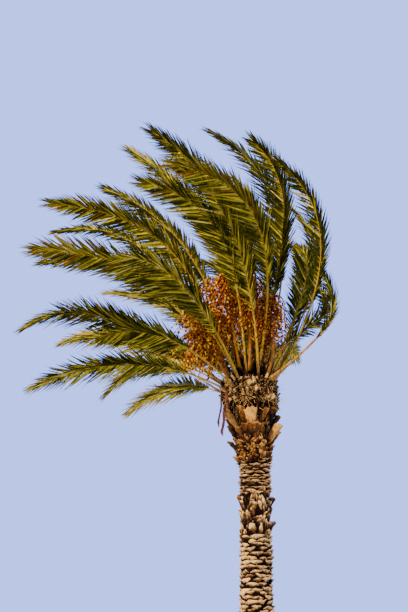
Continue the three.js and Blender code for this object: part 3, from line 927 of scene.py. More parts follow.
SEEN_BOOTS = (
    Boot(267, 4.84, 0.165, 0.235, splay=16, skew=-2, hollow=0.012, light=0.32),
    Boot(240, 4.89, 0.14, 0.20, splay=16, skew=-8, light=-0.10),
    Boot(212, 4.80, 0.115, 0.30, thick=0.05, splay=34, skew=-20, light=0.26),
    Boot(188, 4.74, 0.10, 0.24, thick=0.04, splay=30, skew=-6, light=-0.12),
    Boot(297, 4.90, 0.085, 0.2, splay=22, skew=26, light=0.10),
    Boot(332, 4.62, 0.115, 0.31, thick=0.05, splay=36, skew=16, light=0.26),
    Boot(352, 4.60, 0.12, 0.24, splay=40, skew=-6, light=-0.16),
    Boot(8, 4.82, 0.14, 0.24, splay=42, skew=8, light=-0.2),
    Boot(352, 4.96, 0.12, 0.19, splay=46, skew=-20, light=-0.22),
    Boot(262, 4.67, 0.27, 0.21, splay=24, skew=5, hollow=0.06, light=-0.06),
    Boot(345, 4.88, 0.13, 0.2, splay=36, skew=-14, light=-0.24),
    Boot(322, 4.93, 0.10, 0.2, splay=28, skew=34, light=0.06),
    Boot(334, 5.00, 0.07, 0.18, thick=0.03, splay=40, skew=30, light=-0.26),
    Boot(195, 4.50, 0.06, 0.2, thick=0.025, splay=46, point=0.75, light=-0.02),
    Boot(228, 4.66, 0.12, 0.18, splay=28, skew=-12, light=-0.16),
    Boot(292, 4.66, 0.12, 0.17, splay=20, skew=10, light=-0.24),
    Boot(312, 4.72, 0.10, 0.16, splay=26, skew=-12, light=-0.24),
    Boot(185, 4.93, 0.13, 0.2, splay=30, light=-0.22),
)


@dataclass
class BootCrown:
    """The band of cut boots between the ringed stem and the drum of fibre."""

    rows: int = 60
    columns: int = 96
    back_turns: tuple[float, ...] = (20, 60, 100, 140, 172)
    back_rows: tuple[tuple[float, ...], ...] = ((4.64, 26, 0), (4.84, 34, 20))
    overlaps: tuple[float, float] = (0.01, 0.02)
    scars: int = 230
    scar_foot: float = 4.38
    scar_tops: tuple[float, float] = (4.72, 4.63)
    fibres: int = 700
    noise: NoiseLayer = NoiseLayer(26, 0.026, 0.014)
    seed: int = 23

    def boots(self, rng: Rng) -> list[Boot]:
        """List all boots: those that show, those behind, and the small scars, lower in front.

        Args:
            rng: Seeded source of numbers.

        Returns:
            The boots.
        """
        boots = list(SEEN_BOOTS)
        for turn in self.back_turns:
            for height, splay, shift in self.back_rows:
                boots.append(Boot(turn + shift + rng.uniform(-6, 6), height,
                                  rng.uniform(0.13, 0.17), rng.uniform(0.2, 0.28),
                                  splay=splay + rng.uniform(-5, 5), skew=rng.uniform(-14, 14),
                                  light=rng.uniform(-0.2, 0.2)))
        for _ in range(self.scars):
            turn = rng.uniform(0, 360)
            top = self.scar_tops[210 < turn < 310]
            boots.append(Boot(turn, rng.uniform(self.scar_foot, top), rng.uniform(0.03, 0.09),
                              rng.uniform(0.04, 0.11), thick=0.016, splay=rng.uniform(15, 50),
                              skew=rng.uniform(-30, 30), hollow=0.006,
                              light=rng.uniform(-0.36, 0.16), cuts=2))
        return boots

    def build(self) -> Piece:
        """Make the band of boots.

        Returns:
            The finished piece.
        """
        rng = np.random.default_rng(self.seed)
        arrays = MeshArrays()
        levels = np.linspace(TRUNK_TOP - self.overlaps[0], HEAD_FOOT + self.overlaps[1], self.rows)
        outline = neck_radius(levels), levels
        points, faces, rough = rough_form(rng, outline, self.columns, (self.noise,))
        points[:, 0] += lean_at(points[:, 2])
        # The neck is toned dark, darker where the noise sinks it: painted shade among the boots.
        arrays.add(points, *faces, slot=1, tone=0.16 + 0.2 * rough / self.noise.depth)
        for boot in self.boots(rng):
            boot.add(arrays, float(neck_radius(boot.height)), rng)
        add_fibres(arrays, rng, self.fibres, (TRUNK_TOP - 0.1, HEAD_FOOT), 0.05, slot=1)
        crown = arrays.build("boot_band", [BOOT.material(), FIBRE.material()], smooth=False)
        return seat_piece(crown, ["boot_crown"])


def add_fibres(arrays: MeshArrays, rng: Rng, count: int, span: tuple[float, float],
               proud: float, slot: int = 0) -> None:
    """Add loose fibres that lie round the neck or the drum.

    Args:
        arrays: Where they are gathered.
        rng: Seeded source of numbers.
        count: How many fibres.
        span: Lowest and highest root.
        proud: How far their ends stand out.
        slot: Material slot.
    """
    for _ in range(count):
        height = rng.uniform(*span)
        turn = rng.uniform(0, FULL_TURN)
        radius = HEAD_RADIUS + 0.004 if height > HEAD_FOOT else float(neck_radius(height))
        drift = rng.uniform(-0.5, 0.5)
        length = rng.uniform(0.05, 0.15)
        thick = rng.uniform(0.002, 0.005)
        up = rng.choice([-1.0, 1.0]) * rng.uniform(0.2, 1.0)
        share = np.linspace(0, 1, 4)[:, None]
        angle = turn + drift * share * length / 0.3
        out = radius + proud * share**2 * rng.uniform(0.2, 1.0)
        line = np.concatenate([np.cos(angle) * out, np.sin(angle) * out,
                               height + up * length * share], 1)
        line[:, 0] += lean_at(line[:, 2])
        tube(arrays, line, thick * (1 - 0.7 * share[:, 0]), 3, slot, rng.uniform(0.2, 0.95))


@dataclass
class FibreHead:
    """The drum of matted sheaths under the fronds, with the short stubs that stand out of it."""

    columns: int = 150
    rows: int = 90
    stubs: int = 620
    stub_top: float = 5.40
    flecks: float = 0.2
    dry_stubs: int = 70
    fibres: int = 1300
    long_fibres: int = 200
    radii: tuple[float, ...] = (0.286, 0.332, 0.320, 0.334, 0.322, 0.280, 0.205, 0.118, 0.03)
    heights: tuple[float, ...] = (5.128, 5.175, 5.26, 5.33, 5.42, 5.485, 5.545, 5.592, 5.615)
    poles: tuple[float, float] = (5.125, 5.622)
    noise: tuple[NoiseLayer, ...] = (NoiseLayer(30, 0.032, 0.014), NoiseLayer(60, 0.02, 0.010))
    sheaths: tuple[tuple[float, ...], ...] = (
        (184, 5.36, 0.50, 0.07),
        (204, 5.06, 0.34, 0.09),
        (214, 5.30, 0.30, 0.05),
    )
    seed: int = 37

    def stub(self, rng: Rng) -> Boot:
        """Choose one short stub of an old sheath, a pale fleck or a dark one.

        Args:
            rng: Seeded source of numbers.

        Returns:
            The stub.
        """
        skew = rng.choice([-1.0, 1.0]) * rng.uniform(10, 95)
        fleck = rng.random() < self.flecks
        return Boot(rng.uniform(0, 360), rng.uniform(HEAD_FOOT + 0.01, self.stub_top),
                    rng.uniform(0.02, 0.06) * (0.85 if fleck else 1.0), rng.uniform(0.04, 0.13),
                    thick=0.016, splay=rng.uniform(6, 44), skew=skew, hollow=0.006,
                    light=rng.uniform(-0.6, 0.16) + 0.46 * fleck, cuts=2)

    def dry_stub(self, rng: Rng) -> tuple[Boot, float]:
        """Choose one dry stub that stands on the dome between the stalks, dark partly as dry fibre
        and partly as painted shade in the heart of the crown.

        Args:
            rng: Seeded source of numbers.

        Returns:
            The stub and how far it stands from the axis.
        """
        radius = rng.uniform(0.10, 0.31)
        height = float(np.interp(radius, self.radii[:3:-1], self.heights[:3:-1]))
        # A low light gives the stub its dark tone, partly painted shade between the stalks.
        boot = Boot(rng.uniform(0, 360), height - 0.03, rng.uniform(0.03, 0.07),
                    rng.uniform(0.12, 0.34) * (1.25 - radius * 2), thick=0.014,
                    splay=radius * 70 + rng.uniform(-8, 8), skew=rng.uniform(-12, 12),
                    hollow=0.008, point=rng.uniform(0, 0.7), light=rng.uniform(-0.4, -0.1), cuts=3)
        return boot, radius

    def sheath(self, arrays: MeshArrays, turn: float, top: float, length: float, width: float,
               rng: Rng) -> None:
        """Add a dry sheath that hangs down past the boots.

        Args:
            arrays: Where it is gathered.
            turn: Its place round the drum, in degrees.
            top: Height of its upper end.
            length: Its length.
            width: Its width at the top.
            rng: Seeded source of numbers.
        """
        points, faces, _ = Boot(0, 0, width, length, thick=0.014, hollow=0.008).mesh(rng)
        share = points[:, 2] / length
        points[:, 0] *= 1 - 0.5 * share
        points[:, 0] += 0.010 * np.sin(share * 7)
        points[:, 1] += 0.008 * np.sin(share * 9)
        place = np.array(
            Matrix.Translation((LEAN_TOP, 0, top))
            @ Matrix.Rotation(math.radians(turn + 90), 4, "Z")
            @ Matrix.Translation((0, -HEAD_RADIUS - 0.018, 0))
            @ Matrix.Rotation(math.radians(180 - 5), 4, "X")
        )
        arrays.add(points @ place[:3, :3].T + place[:3, 3], *faces, slot=1)

    def build(self) -> Piece:
        """Make the drum.

        Returns:
            The finished piece.
        """
        rng = np.random.default_rng(self.seed)
        arrays = MeshArrays()
        knots = range(len(self.radii))
        share = np.linspace(0, knots[-1], self.rows)
        outline = np.interp(share, knots, self.radii), np.interp(share, knots, self.heights)
        points, faces, rough = rough_form(rng, outline, self.columns, self.noise, self.poles)
        points[:, 0] += LEAN_TOP
        # The drum's surface is toned dark, darker where the noise sinks it: partly its own brown
        # fibre, partly painted shade in the holes between the stubs.
        arrays.add(points, *faces, tone=np.clip(0.12 + rough * 14, 0, 1))
        for _ in range(self.stubs):
            self.stub(rng).add(arrays, HEAD_RADIUS - 0.004, rng, lean=False)
        for _ in range(self.dry_stubs):
            boot, radius = self.dry_stub(rng)
            boot.add(arrays, radius, rng, lean=False)
        for sizes in self.sheaths:
            self.sheath(arrays, *sizes, rng)
        add_fibres(arrays, rng, self.fibres, (HEAD_FOOT, HEAD_FOOT + 0.3), 0.05)
        add_fibres(arrays, rng, self.long_fibres, (HEAD_FOOT, HEAD_FOOT + 0.24), 0.12)
        head = arrays.build("fibre_drum", [FIBRE.material(), SHEATH.material()], smooth=False)
        return seat_piece(head, ["fibre_head"])


# Seats and spines

# How much more a wrong turn costs a level stalk than a wrong rise
TURN_WEIGHT = 1.2


def turn_between(a: float, b: float) -> float:
    """Return the angle between two turns, in degrees."""
    turn = abs(a - b) % 360
    return min(turn, 360 - turn)


def seat_stalks(plans: list[FrondPlan | BunchPlan]) -> list[Array]:
    """Give each stalk its seat on the head, the steepest first.

    Args:
        plans: The plans of all stalks.

    Returns:
        The seats, in the order of the plans.
    """
    free = []
    for row, ring in enumerate(SEAT_RINGS):
        for i in range(ring.seats):
            turn = (i + (row % 2) * 0.5) * 360 / ring.seats
            point = HEART + direction(turn, 0) * ring.radius + np.array([0, 0, ring.height])
            free.append((turn, ring.rise, point))
    seats: list[Array] = [HEART] * len(plans)
    for index in sorted(range(len(plans)), key=lambda i: (-plans[i].rise, plans[i].turn)):
        plan = plans[index]
        weight = math.cos(math.radians(plan.rise)) * TURN_WEIGHT
        cost = [turn_between(turn, plan.turn) * weight + abs(rise - plan.rise)
                for turn, rise, _ in free]
        seats[index] = free.pop(int(np.argmin(cost)))[2]
    return seats


def read_along(places: Array, knots: Array, line: Array) -> Array:
    """Return the points of a line at the given places between its knots."""
    return np.stack([np.interp(places, knots, line[:, k]) for k in range(3)], -1)


class Spine:
    """A smooth line that can be read by the share of its length."""

    SAMPLES = 241

    def __init__(self, knots: list[Array], roll: float = 0.0, curl: float = 0.0) -> None:
        """Sample the line.

        Args:
            knots: The four control points of a cubic curve.
            roll: How far a blade on it turns about it, in degrees.
            curl: How much further the blade turns towards the tip, in degrees.
        """
        t = np.linspace(0, 1, self.SAMPLES)[:, None]
        a, b, c, d = knots
        self.line = (1 - t) ** 3 * a + 3 * (1 - t) ** 2 * t * b + 3 * (1 - t) * t * t * c + t**3 * d
        steps = np.linalg.norm(np.diff(self.line, axis=0), axis=1)
        self.shares = np.concatenate([[0], np.cumsum(steps)]) / float(steps.sum())
        self.slopes = unit(np.gradient(self.line, axis=0))
        middle = self.line[self.SAMPLES // 2] - self.line[0]
        self.bend = unit(np.cross(middle, self.line[-1] - self.line[0]))
        self.roll = math.radians(roll)
        self.curl = math.radians(curl)

    def at(self, shares: Array) -> Array:
        """Return the points at the given shares of the length."""
        return read_along(shares, self.shares, self.line)

    def frames(self, shares: Array) -> tuple[Array, Array, Array]:
        """Work out which way the blade lies along the line.

        Args:
            shares: Places along the line.

        Returns:
            Unit vectors along it, across the blade and square to the blade.
        """
        along = unit(read_along(shares, self.shares, self.slopes))
        side = unit(self.bend - along * (along @ self.bend)[:, None])
        twist = (self.roll * ramp(shares, 0, 0.3) + self.curl * ramp(shares, 0.5, 0.9))[:, None]
        side = side * np.cos(twist) + np.cross(along, side) * np.sin(twist)
        return along, side, np.cross(side, along)


def frond_spine(plan: FrondPlan, seat: Array) -> Spine:
    """Draw the rib of a frond from its seat to its tip.

    Args:
        plan: The frond's plan.
        seat: Its seat on the head.

    Returns:
        The rib's line.
    """
    launch = direction(plan.turn, plan.rise)
    foot = seat - launch * SUNK
    tip = HEART + np.array(plan.tip)
    chord = float(np.linalg.norm(tip - foot))
    arrive = direction(plan.heading, -plan.dive)
    knots = [foot, foot + launch * chord * plan.spring, tip - arrive * chord * plan.settle, tip]
    return Spine(knots, plan.roll, plan.curl)

# Leaflets and fronds

# Places of a leaflet's rings along it, how wide it is there, the tone of each vertex, and what
# is added to that on every leaflet with a pale foot
LEAFLET_STEPS = np.array([0.0, 0.16, 0.42, 0.74])
LEAFLET_WIDTHS = np.array([0.66, 1.0, 0.96, 0.56])
RING_TONES = np.repeat([0.52, 0.47, 0.44, 0.42, 0.38], [4, 4, 4, 4, 1])
PALE_FOOT = np.repeat([0.46, 0.12, 0.0], [4, 4, 9])
PALE_EVERY = 4

# Odds of each tint at the foot and at the tip of the blade; the darkest fronds draw mostly the
# painted shade tint
TINT_ODDS = {
    Tone.GREEN: ((0.44, 0.27, 0.25, 0.03, 0.01), (0.33, 0.27, 0.33, 0.05, 0.02)),
    Tone.DEEP_SHADED: ((0.80, 0.14, 0.05, 0.01, 0.0), (0.70, 0.20, 0.09, 0.01, 0.0)),
    Tone.GOLD: ((0.10, 0.26, 0.40, 0.24, 0.0), (0.05, 0.20, 0.40, 0.33, 0.02)),
    Tone.PALE: ((0.28, 0.26, 0.36, 0.09, 0.01), (0.18, 0.24, 0.42, 0.14, 0.02)),
    Tone.RUSSET: ((0.36, 0.36, 0.24, 0.04, 0.0), (0.08, 0.26, 0.38, 0.05, 0.23)),
}


@dataclass(frozen=True)
class Leaflets:
    """The leaflets of one frond: where and how each starts, and which way it is blown."""

    root: Array
    start: Array
    blown: Array
    normal: Array
    length: Array
    width: Array
    place: Array

    def mesh(self, rng: Rng) -> tuple[Array, Array]:
        """Shape all of them: folded blades that narrow to a point.

        Args:
            rng: Seeded source of numbers.

        Returns:
            The vertices of each leaflet, and the triangles of one.
        """
        count, rings = len(self.root), len(LEAFLET_STEPS)
        t = np.append(LEAFLET_STEPS, 1.0)[None, :, None]
        start, blown, normal = self.start[:, None], self.blown[:, None], self.normal[:, None]
        bent = start * (t - 0.6 * t**2) + blown * 0.6 * t**2
        line = self.root[:, None] + bent * self.length[:, None, None]
        along = unit(start * (1 - 1.2 * t) + blown * 1.2 * t)
        normal = unit(normal - along * np.sum(along * normal, -1, keepdims=True))
        flat = np.cross(along, normal)
        twist = rng.uniform(-0.7, 0.7, count)[:, None, None] + 0.5 * t
        aside = flat * np.cos(twist) + normal * np.sin(twist)
        up = np.cross(aside, along)[:, :rings]
        half = self.width[:, None, None] * LEAFLET_WIDTHS[None, :, None] / 2
        middle, aside, fold = line[:, :rings], aside[:, :rings] * half, 0.42 * half
        left, right = middle - aside + up * fold, middle + aside + up * fold
        keel = middle - up * fold * 0.3
        crease = middle + up * np.maximum(0.0012, fold * 0.1)
        sides = np.stack([left, keel, right, crease], 2).reshape(count, -1, 3)
        points = np.concatenate([sides, line[:, rings:]], 1)
        side, tip = np.arange(4), 4 * rings
        body = ring_faces(rings, 4)
        point = np.stack([tip - 4 + side, tip - 4 + (side + 1) % 4, np.full(4, tip)], -1)
        foot = np.array([[0, 3, 2], [0, 2, 1]])
        return points, np.concatenate([body[:, [0, 1, 2]], body[:, [0, 2, 3]], point, foot])


@dataclass
class Fronds:
    """All fronds of the crown: their ribs, the thorns on the stalks, and the leaflets."""

    plans: list[FrondPlan]
    seats: list[Array]
    leaflet: float = 0.44
    width: float = 0.021
    base_angle: float = 50.0
    tip_angle: float = 36.0
    closing: float = 22.0
    pushes: tuple[float, float] = (0.08, 0.35)
    flutter: float = 0.06
    angle_spread: float = 3.0
    rank_spread: float = 9.0
    foot_growth: float = 0.26
    tip_loss: float = 0.44
    blade_end: float = 0.965
    ranks: tuple[float, ...] = (36.0, -12.0, 16.0, -26.0)
    sides: int = 8
    stations: int = 30
    thorns: int = 14
    thorn_lengths: tuple[float, float] = (0.05, 0.12)
    thorn_radii: tuple[float, ...] = (0.0035, 0.0025, 0.0006)
    cluster: int = 3
    piece_limit: int = 150000
    seed: int = 5

    def nodes(self) -> list[str]:
        """Return the names of the solids that the fronds stand for."""
        return [f"frond_{i + 1:02d}" for i in range(len(self.plans))]

    def rib_size(self, plan: FrondPlan, share: Array) -> tuple[Array, Array]:
        """Work out how thick the rib is.

        Args:
            plan: The frond's plan.
            share: Places along the rib.

        Returns:
            Its width and its height at each place.
        """
        stalk = 1 - 0.58 * ramp(share, 0, 0.19)
        taper = plan.stout * stalk * (1 - ramp(share, plan.bare, 1)) ** 1.7
        wide, high = (tip + (base - tip) * taper for base, tip in zip(RIB_BASE, RIB_TIP))
        return wide, high

    def add_rib(self, arrays: MeshArrays, plan: FrondPlan, spine: Spine) -> None:
        """Add one rib, rounded beneath and flat above.

        Args:
            arrays: Where it is gathered.
            plan: The frond's plan.
            spine: The rib's line.
        """
        share = np.linspace(0, 0.995, self.stations) ** 1.15
        _, side, face = spine.frames(share)
        wide, high = self.rib_size(plan, share)
        angle = (np.arange(self.sides) + 0.5) / self.sides * FULL_TURN
        x = np.cos(angle)[None, :] * wide[:, None] / 2
        y = np.sin(angle)[None, :] * high[:, None] / 2
        y = np.where(y > 0, y * 0.6, y * 1.25)
        ring = x[..., None] * side[:, None] - y[..., None] * face[:, None]
        ring += spine.at(share)[:, None]
        arrays.add(ring.reshape(-1, 3), ring_faces(self.stations, self.sides),
                   end_faces(self.stations, self.sides))
        colours = np.digitize(share[1:], [plan.brown, max(plan.brown, 0.26), 0.62])
        arrays.slots[-2] = np.repeat(colours, self.sides)
        arrays.slots[-1] = np.repeat([0, len(STALK_TINTS) - 1], self.sides - 2)

    def add_thorns(self, arrays: MeshArrays, spine: Spine, rng: Rng) -> None:
        """Add the long thorns that stand on the leaf stalk below the leaflets.

        Args:
            arrays: Where they are gathered.
            spine: The rib's line.
            rng: Seeded source of numbers.
        """
        shares = rng.uniform(0.07, BLADE_START + 0.02, self.thorns)
        along, side, face = spine.frames(shares)
        roots = spine.at(shares)
        for i in range(self.thorns):
            hand = -1 if i % 2 else 1
            way = unit(along[i] * 0.7 + side[i] * hand * 0.75 + face[i] * rng.uniform(-0.5, 0.5))
            length = rng.uniform(*self.thorn_lengths)
            root = roots[i] + side[i] * hand * 0.012
            line = np.stack([root, root + way * length * 0.5, root + way * length])
            tube(arrays, line, np.array(self.thorn_radii), 4, slot=1)

    def places(self, plan: FrondPlan, rng: Rng) -> tuple[Array, Array, Array]:
        """Spread the leaflets along the blade, in loose clusters on both sides.

        Args:
            plan: The frond's plan.
            rng: Seeded source of numbers.

        Returns:
            Place on the blade, side and rank of each leaflet.
        """
        index = np.arange(plan.pairs)
        gather = 0.22 * (1 - index % self.cluster)
        blade = np.clip((index + 0.5 + gather) / plan.pairs, 0, 0.997)
        place = np.concatenate([blade, np.clip(blade + 0.3 / plan.pairs, 0, 0.998)])
        hand = np.repeat([-1.0, 1.0], plan.pairs)
        ranks = np.array(self.ranks)[np.concatenate([index, index + 1]) % len(self.ranks)]
        ranks = ranks * (1 - 0.2 * place)
        return place, hand, ranks + rng.uniform(-self.rank_spread, self.rank_spread, len(place))

    def grow(self, plan: FrondPlan, spine: Spine, rng: Rng) -> Leaflets:
        """Work out where each leaflet of a frond starts and how it grows.

        Args:
            plan: The frond's plan.
            spine: The rib's line.
            rng: Seeded source of numbers.

        Returns:
            The frond's leaflets.
        """
        place, hand, rank = self.places(plan, rng)
        share = plan.bare + (self.blade_end - plan.bare) * place
        along, side, face = spine.frames(share)
        angle = self.base_angle + (self.tip_angle - self.base_angle) * place**0.7
        angle = angle + rng.normal(0, self.angle_spread, len(place))
        angle = angle - self.closing * ramp(place, 0.8, 1)
        lift = np.radians(rank)[:, None]
        sideways = side * hand[:, None]
        across = sideways * np.cos(lift) + face * np.sin(lift)
        angle = (np.radians(angle) * (1 - 0.45 * np.maximum(0, across[:, 0])))[:, None]
        start = unit(along * np.cos(angle) + across * np.sin(angle) + WIND * self.pushes[0])
        blown = unit(start + WIND * self.pushes[1] + rng.normal(0, self.flutter, start.shape))
        growth = self.foot_growth + (1 - self.foot_growth) * ramp(place, 0, 0.26)
        growth = growth * (1 - self.tip_loss * ramp(place, 0.62, 1) ** 1.6)
        length = self.leaflet * plan.leaf * growth * rng.uniform(0.82, 1.06, len(place))
        wide, _ = self.rib_size(plan, share)
        width = self.width * (0.55 + 0.45 * growth) * rng.uniform(0.85, 1.15, len(place))
        return Leaflets(root=spine.at(share) + sideways * (wide * 0.35)[:, None], start=start,
                        blown=blown, normal=face * np.cos(lift) - sideways * np.sin(lift),
                        length=length, width=width, place=place)

    def tints(self, plan: FrondPlan, place: Array, rng: Rng) -> Array:
        """Deal each leaflet of a frond its colour, painted shade and painted sunlight among them, a
        fifth of them by clusters.

        Args:
            plan: The frond's plan.
            place: Place of each leaflet on the blade.
            rng: Seeded source of numbers.

        Returns:
            Index of the tint of each leaflet.
        """
        foot, tip = np.array(TINT_ODDS[plan.tone])
        turned = ramp(place, 0.35, 0.9)[:, None]
        chance = np.cumsum(foot * (1 - turned) + tip * turned, axis=1)
        own, group, keep = rng.random((3, len(place)))
        group = np.repeat(group[::self.cluster], self.cluster)[:len(place)]
        draw = np.where(keep < 0.2, group, own)
        return np.minimum((draw[:, None] > chance).sum(1), len(Tint) - 1)

    def build(self) -> list[Piece]:
        """Make the ribs and the leaflets.

        Returns:
            The finished pieces.
        """
        ribs = MeshArrays()
        blades = {tint: [MeshArrays()] for tint in Tint}
        for number, (plan, seat) in enumerate(zip(self.plans, self.seats)):
            rng = np.random.default_rng(self.seed * 1000 + number)
            spine = frond_spine(plan, seat)
            self.add_rib(ribs, plan, spine)
            self.add_thorns(ribs, spine, rng)
            leaflets = self.grow(plan, spine, rng)
            points, triangles = leaflets.mesh(rng)
            dealt = self.tints(plan, leaflets.place, rng)
            for tint in Tint:
                mine = points[dealt == tint.value]
                if not len(mine):
                    continue
                if blades[tint][-1].triangles() > self.piece_limit:
                    blades[tint].append(MeshArrays())
                index = np.arange(len(mine))[:, None, None]
                tone = RING_TONES + PALE_FOOT * (index[:, 0] % PALE_EVERY == 0)
                faces = triangles[None] + index * points.shape[1]
                blades[tint][-1].add(mine.reshape(-1, 3), faces.reshape(-1, 3), tone=tone.ravel())
        pieces = [ribs.build("frond_ribs", [f.material() for f in STALK_TINTS])]
        for tint, batches in blades.items():
            finish = LEAF_TINTS[tint.value].material()
            for i, batch in enumerate(batches):
                pieces.append(batch.build(f"leaflets_{tint.name.lower()}_{i + 1}", [finish],
                                          smooth=False))
        return [seat_piece(piece, self.nodes()) for piece in pieces]


@dataclass
class Spear:
    """The youngest leaf, still folded, in the middle of the dome."""

    foot: Triple = (0.0, 0.0, 0.10)
    tip: Triple = (-0.33, 0.06, 1.95)
    lean: float = 84.0
    radii: tuple[float, ...] = (0.046, 0.030, 0.027, 0.024, 0.019, 0.013, 0.005)
    core: float = 0.8
    stations: int = 14
    blades: int = 14
    blade_radii: tuple[float, float] = (0.008, 0.001)
    seed: int = 71

    def build(self) -> Piece:
        """Make the folded leaf out of narrow blades laid together.

        Returns:
            The finished piece.
        """
        rng = np.random.default_rng(self.seed)
        foot, tip = HEART + np.array(self.foot), HEART + np.array(self.tip)
        knee = foot + direction(180, self.lean) * float(np.linalg.norm(tip - foot)) * 0.5
        t = np.linspace(0, 1, self.stations)[:, None]
        line = (1 - t) ** 2 * foot + 2 * (1 - t) * t * knee + t * t * tip
        radii = np.interp(t[:, 0], np.linspace(0, 1, len(self.radii)), self.radii)
        arrays = MeshArrays()
        tube(arrays, line, radii * self.core, 10, slot=1)
        for i in range(self.blades):
            start = int(rng.integers(2, 7))
            own = line[start:] + direction(i / self.blades * 360, 0) * radii[start:, None] * 0.75
            tube(arrays, own, np.linspace(*self.blade_radii, len(own)), 4, slot=i % 2)
        # Every other blade takes the sunlit tint, which is painted sunlight.
        finishes = [LEAF_TINTS[tint.value].material() for tint in (Tint.SUNLIT, Tint.OLIVE)]
        return seat_piece(arrays.build("spear_leaf", finishes), ["spear"])


# Dates


@dataclass
class DateBunches:
    """Bunches of ripening dates on arching stalks."""

    plans: tuple[BunchPlan, ...]
    seats: list[Array]
    hook: float = 0.13
    stalk_places: tuple[float, ...] = (0, 0.15, 0.9, 1)
    stalk_radii: tuple[float, ...] = (0.030, 0.019, 0.015, 0.02)
    strands: int = 112
    strand_radii: tuple[float, float] = (0.0035, 0.0014)
    splays: tuple[float, float] = (0.06, 0.36)
    lengths: tuple[float, float] = (0.6, 1.1)
    coils: float = 2.618
    sway: float = 0.5
    dates: int = 13
    first_date: float = 0.22
    tilt: float = 0.9
    alike: float = 0.4
    length: float = 0.37
    date: tuple[float, float] = (0.034, 0.022)
    odds: tuple[float, float] = (0.36, 0.32)
    ripening: float = 0.26
    stations: int = 14
    steps: int = 8
    seed: int = 83

    def stalk(self, plan: BunchPlan, seat: Array) -> Spine:
        """Draw the stalk of one bunch from its seat to its crook.

        Args:
            plan: The bunch's plan.
            seat: Its seat on the head.

        Returns:
            The stalk's line.
        """
        launch = direction(plan.turn, plan.rise)
        foot = seat - launch * SUNK
        end = HEART + np.array(plan.crook)
        reach = float(np.linalg.norm(end - foot)) * 0.5
        over = direction(plan.turn, -25) * self.hook
        return Spine([foot, foot + launch * reach, end - over, end])

    def fruit(self) -> Form:
        """Shape one date, hanging from the origin.

        Returns:
            Its vertices and faces.
        """
        ball = bmesh.new()
        bmesh.ops.create_uvsphere(ball, u_segments=6, v_segments=4, radius=0.5)
        bmesh.ops.triangulate(ball, faces=ball.faces[:])
        points, faces = shape_arrays(ball)
        long, wide = self.date
        return points * np.array([wide, wide, long]) - np.array([0, 0, long * 0.5]), faces

    def strand(self, spine: Spine, plan: BunchPlan, number: int,
               rng: Rng) -> Array:
        """Draw one hanging strand.

        Args:
            spine: The stalk's line.
            plan: The bunch's plan.
            number: Number of the strand.
            rng: Seeded source of numbers.

        Returns:
            The strand's points, from the stalk down.
        """
        root = spine.at(np.array([rng.uniform(0.74, 1.0)]))[0]
        turn = plan.turn + number / self.strands * 360 * self.coils
        splay = rng.uniform(*self.splays)
        length = self.length * rng.uniform(*self.lengths)
        share = np.linspace(0, 1, self.steps)[:, None]
        line = root + direction(turn, 0) * np.sin(share * 1.35) * splay
        line += WIND * self.sway * share**2
        line[:, 2:] += 0.09 * np.sin(share * 3) - length * share**1.6
        line[:, :2] += rng.normal(0, 0.006, (self.steps, 2)) * share
        return line

    def hang(self, fruit: list[MeshArrays], date: Form, line: Array, ripe: float,
             rng: Rng) -> None:
        """Hang dates on a strand, some of them as ripe as each other.

        Args:
            fruit: Where dates are gathered, by tint.
            date: Vertices and faces of one date.
            line: The strand's points.
            ripe: How ripe the bunch is.
            rng: Seeded source of numbers.
        """
        points, faces = date
        chance = np.cumsum((self.odds[0], self.odds[1] - self.ripening * ripe))
        own = int((rng.random() > chance).sum())
        places = np.linspace(self.first_date, 1.0, self.dates)
        for spot in read_along(places, np.linspace(0, 1, self.steps), line):
            tilt = (*rng.uniform(-self.tilt, self.tilt, 2), rng.uniform(0, LAST_PHASE))
            turned = points @ np.array(Euler(tilt).to_matrix()).T * rng.uniform(0.85, 1.12)
            kind = own if rng.random() < self.alike else int((rng.random() > chance).sum())
            fruit[kind].add(turned + spot, *faces)

    def build(self) -> list[Piece]:
        """Make the stalks, the strands and the dates.

        Returns:
            The finished pieces.
        """
        date = self.fruit()
        stems = MeshArrays()
        fruit = [MeshArrays() for _ in DATE_TINTS]
        share = np.linspace(0, 1, self.stations)
        radii = np.interp(share, self.stalk_places, self.stalk_radii)
        for number, (plan, seat) in enumerate(zip(self.plans, self.seats)):
            rng = np.random.default_rng(self.seed + number)
            spine = self.stalk(plan, seat)
            tube(stems, spine.at(share), radii, 8)
            for i in range(self.strands):
                line = self.strand(spine, plan, i, rng)
                tube(stems, line, np.linspace(*self.strand_radii, self.steps), 4)
                self.hang(fruit, date, line, plan.ripe, rng)
        nodes = [f"date_bunch_{i + 1}" for i in range(len(self.plans))]
        pieces = [stems.build("date_strands", [STRAND.material()])]
        for finish, batch in zip(DATE_TINTS, fruit):
            pieces.append(batch.build(finish.name + "s", [finish.material()]))
        return [seat_piece(piece, nodes) for piece in pieces]


# Studio and camera


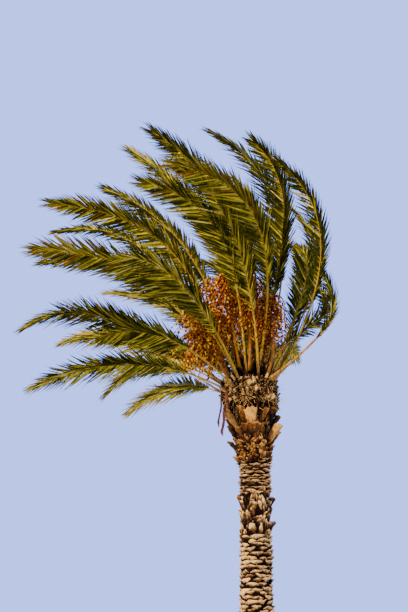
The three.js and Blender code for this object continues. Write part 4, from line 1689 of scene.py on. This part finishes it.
@dataclass
class Studio:
    """Plain pale floor, soft light and the camera of the photograph."""

    camera_place: Triple = (-0.64, -15.896, 1.6)
    camera_pitch: float = 17.0
    lens: float = 75.0
    sensor: float = 36.0
    sky: Colour = (0.68, 1.0, 2.6)
    floor_colour: Colour = (0.62, 0.62, 0.60)
    floor_size: float = 300.0
    sun_power: float = 9.0
    sun_width: float = 5.0
    sun_colour: Colour = (1.0, 0.88, 0.70)
    sun_way: Triple = (0.62, 0.62, -0.62)

    def camera(self) -> None:
        """Set the camera where the photograph was taken from."""
        view = bpy.data.cameras.new("view")
        view.lens = self.lens
        view.sensor_fit = "VERTICAL"
        view.sensor_height = self.sensor
        item = link("view", view)
        item.location = self.camera_place
        item.rotation_euler = (math.radians(90 + self.camera_pitch), 0, 0)
        bpy.context.scene.camera = item

    def floor(self) -> None:
        """Lay the floor at ground level."""
        plate = bmesh.new()
        bmesh.ops.create_grid(plate, x_segments=1, y_segments=1, size=self.floor_size)
        mesh = bpy.data.meshes.new("floor")
        plate.to_mesh(mesh)
        plate.free()
        pale = bpy.data.materials.new("floor_pale")
        pale.use_nodes = True
        shader = pale.node_tree.nodes["Principled BSDF"]
        shader.inputs["Base Color"].default_value = (*self.floor_colour, 1)
        shader.inputs["Roughness"].default_value = 0.9
        mesh.materials.append(pale)
        link("floor", mesh)

    def lights(self) -> None:
        """Light the palm softly from the upper left, with the pale sky as fill."""
        world = bpy.data.worlds.new("sky")
        world.use_nodes = True
        back = world.node_tree.nodes["Background"]
        back.inputs["Color"].default_value = (*self.sky, 1)
        back.inputs["Strength"].default_value = 1.0
        bpy.context.scene.world = world
        key = bpy.data.lights.new("key", "SUN")
        key.energy = self.sun_power
        key.angle = math.radians(self.sun_width)
        key.color = self.sun_colour
        way = Vector(self.sun_way).to_track_quat("-Z", "Y")
        link("key", key).rotation_euler = way.to_euler()

    def build(self) -> None:
        """Set up camera, floor and light."""
        self.camera()
        self.floor()
        self.lights()


def main() -> None:
    """Build the palm from the ground up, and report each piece."""
    logging.basicConfig(level=logging.INFO, format="%(message)s")
    Studio().build()
    plans = [*SEEN_FRONDS, *(plan for tier in TIERS for plan in tier.plans())]
    seats = seat_stalks([*BUNCHES, *plans])
    pieces = [
        Trunk().build(),
        BootCrown().build(),
        FibreHead().build(),
        *Fronds(plans, seats[len(BUNCHES):]).build(),
        Spear().build(),
        *DateBunches(BUNCHES, seats[:len(BUNCHES)]).build(),
    ]
    for piece in pieces:
        LOG.info("%s: %d faces", piece.name, len(piece.data.polygons))


if __name__ == "__main__":
    main()
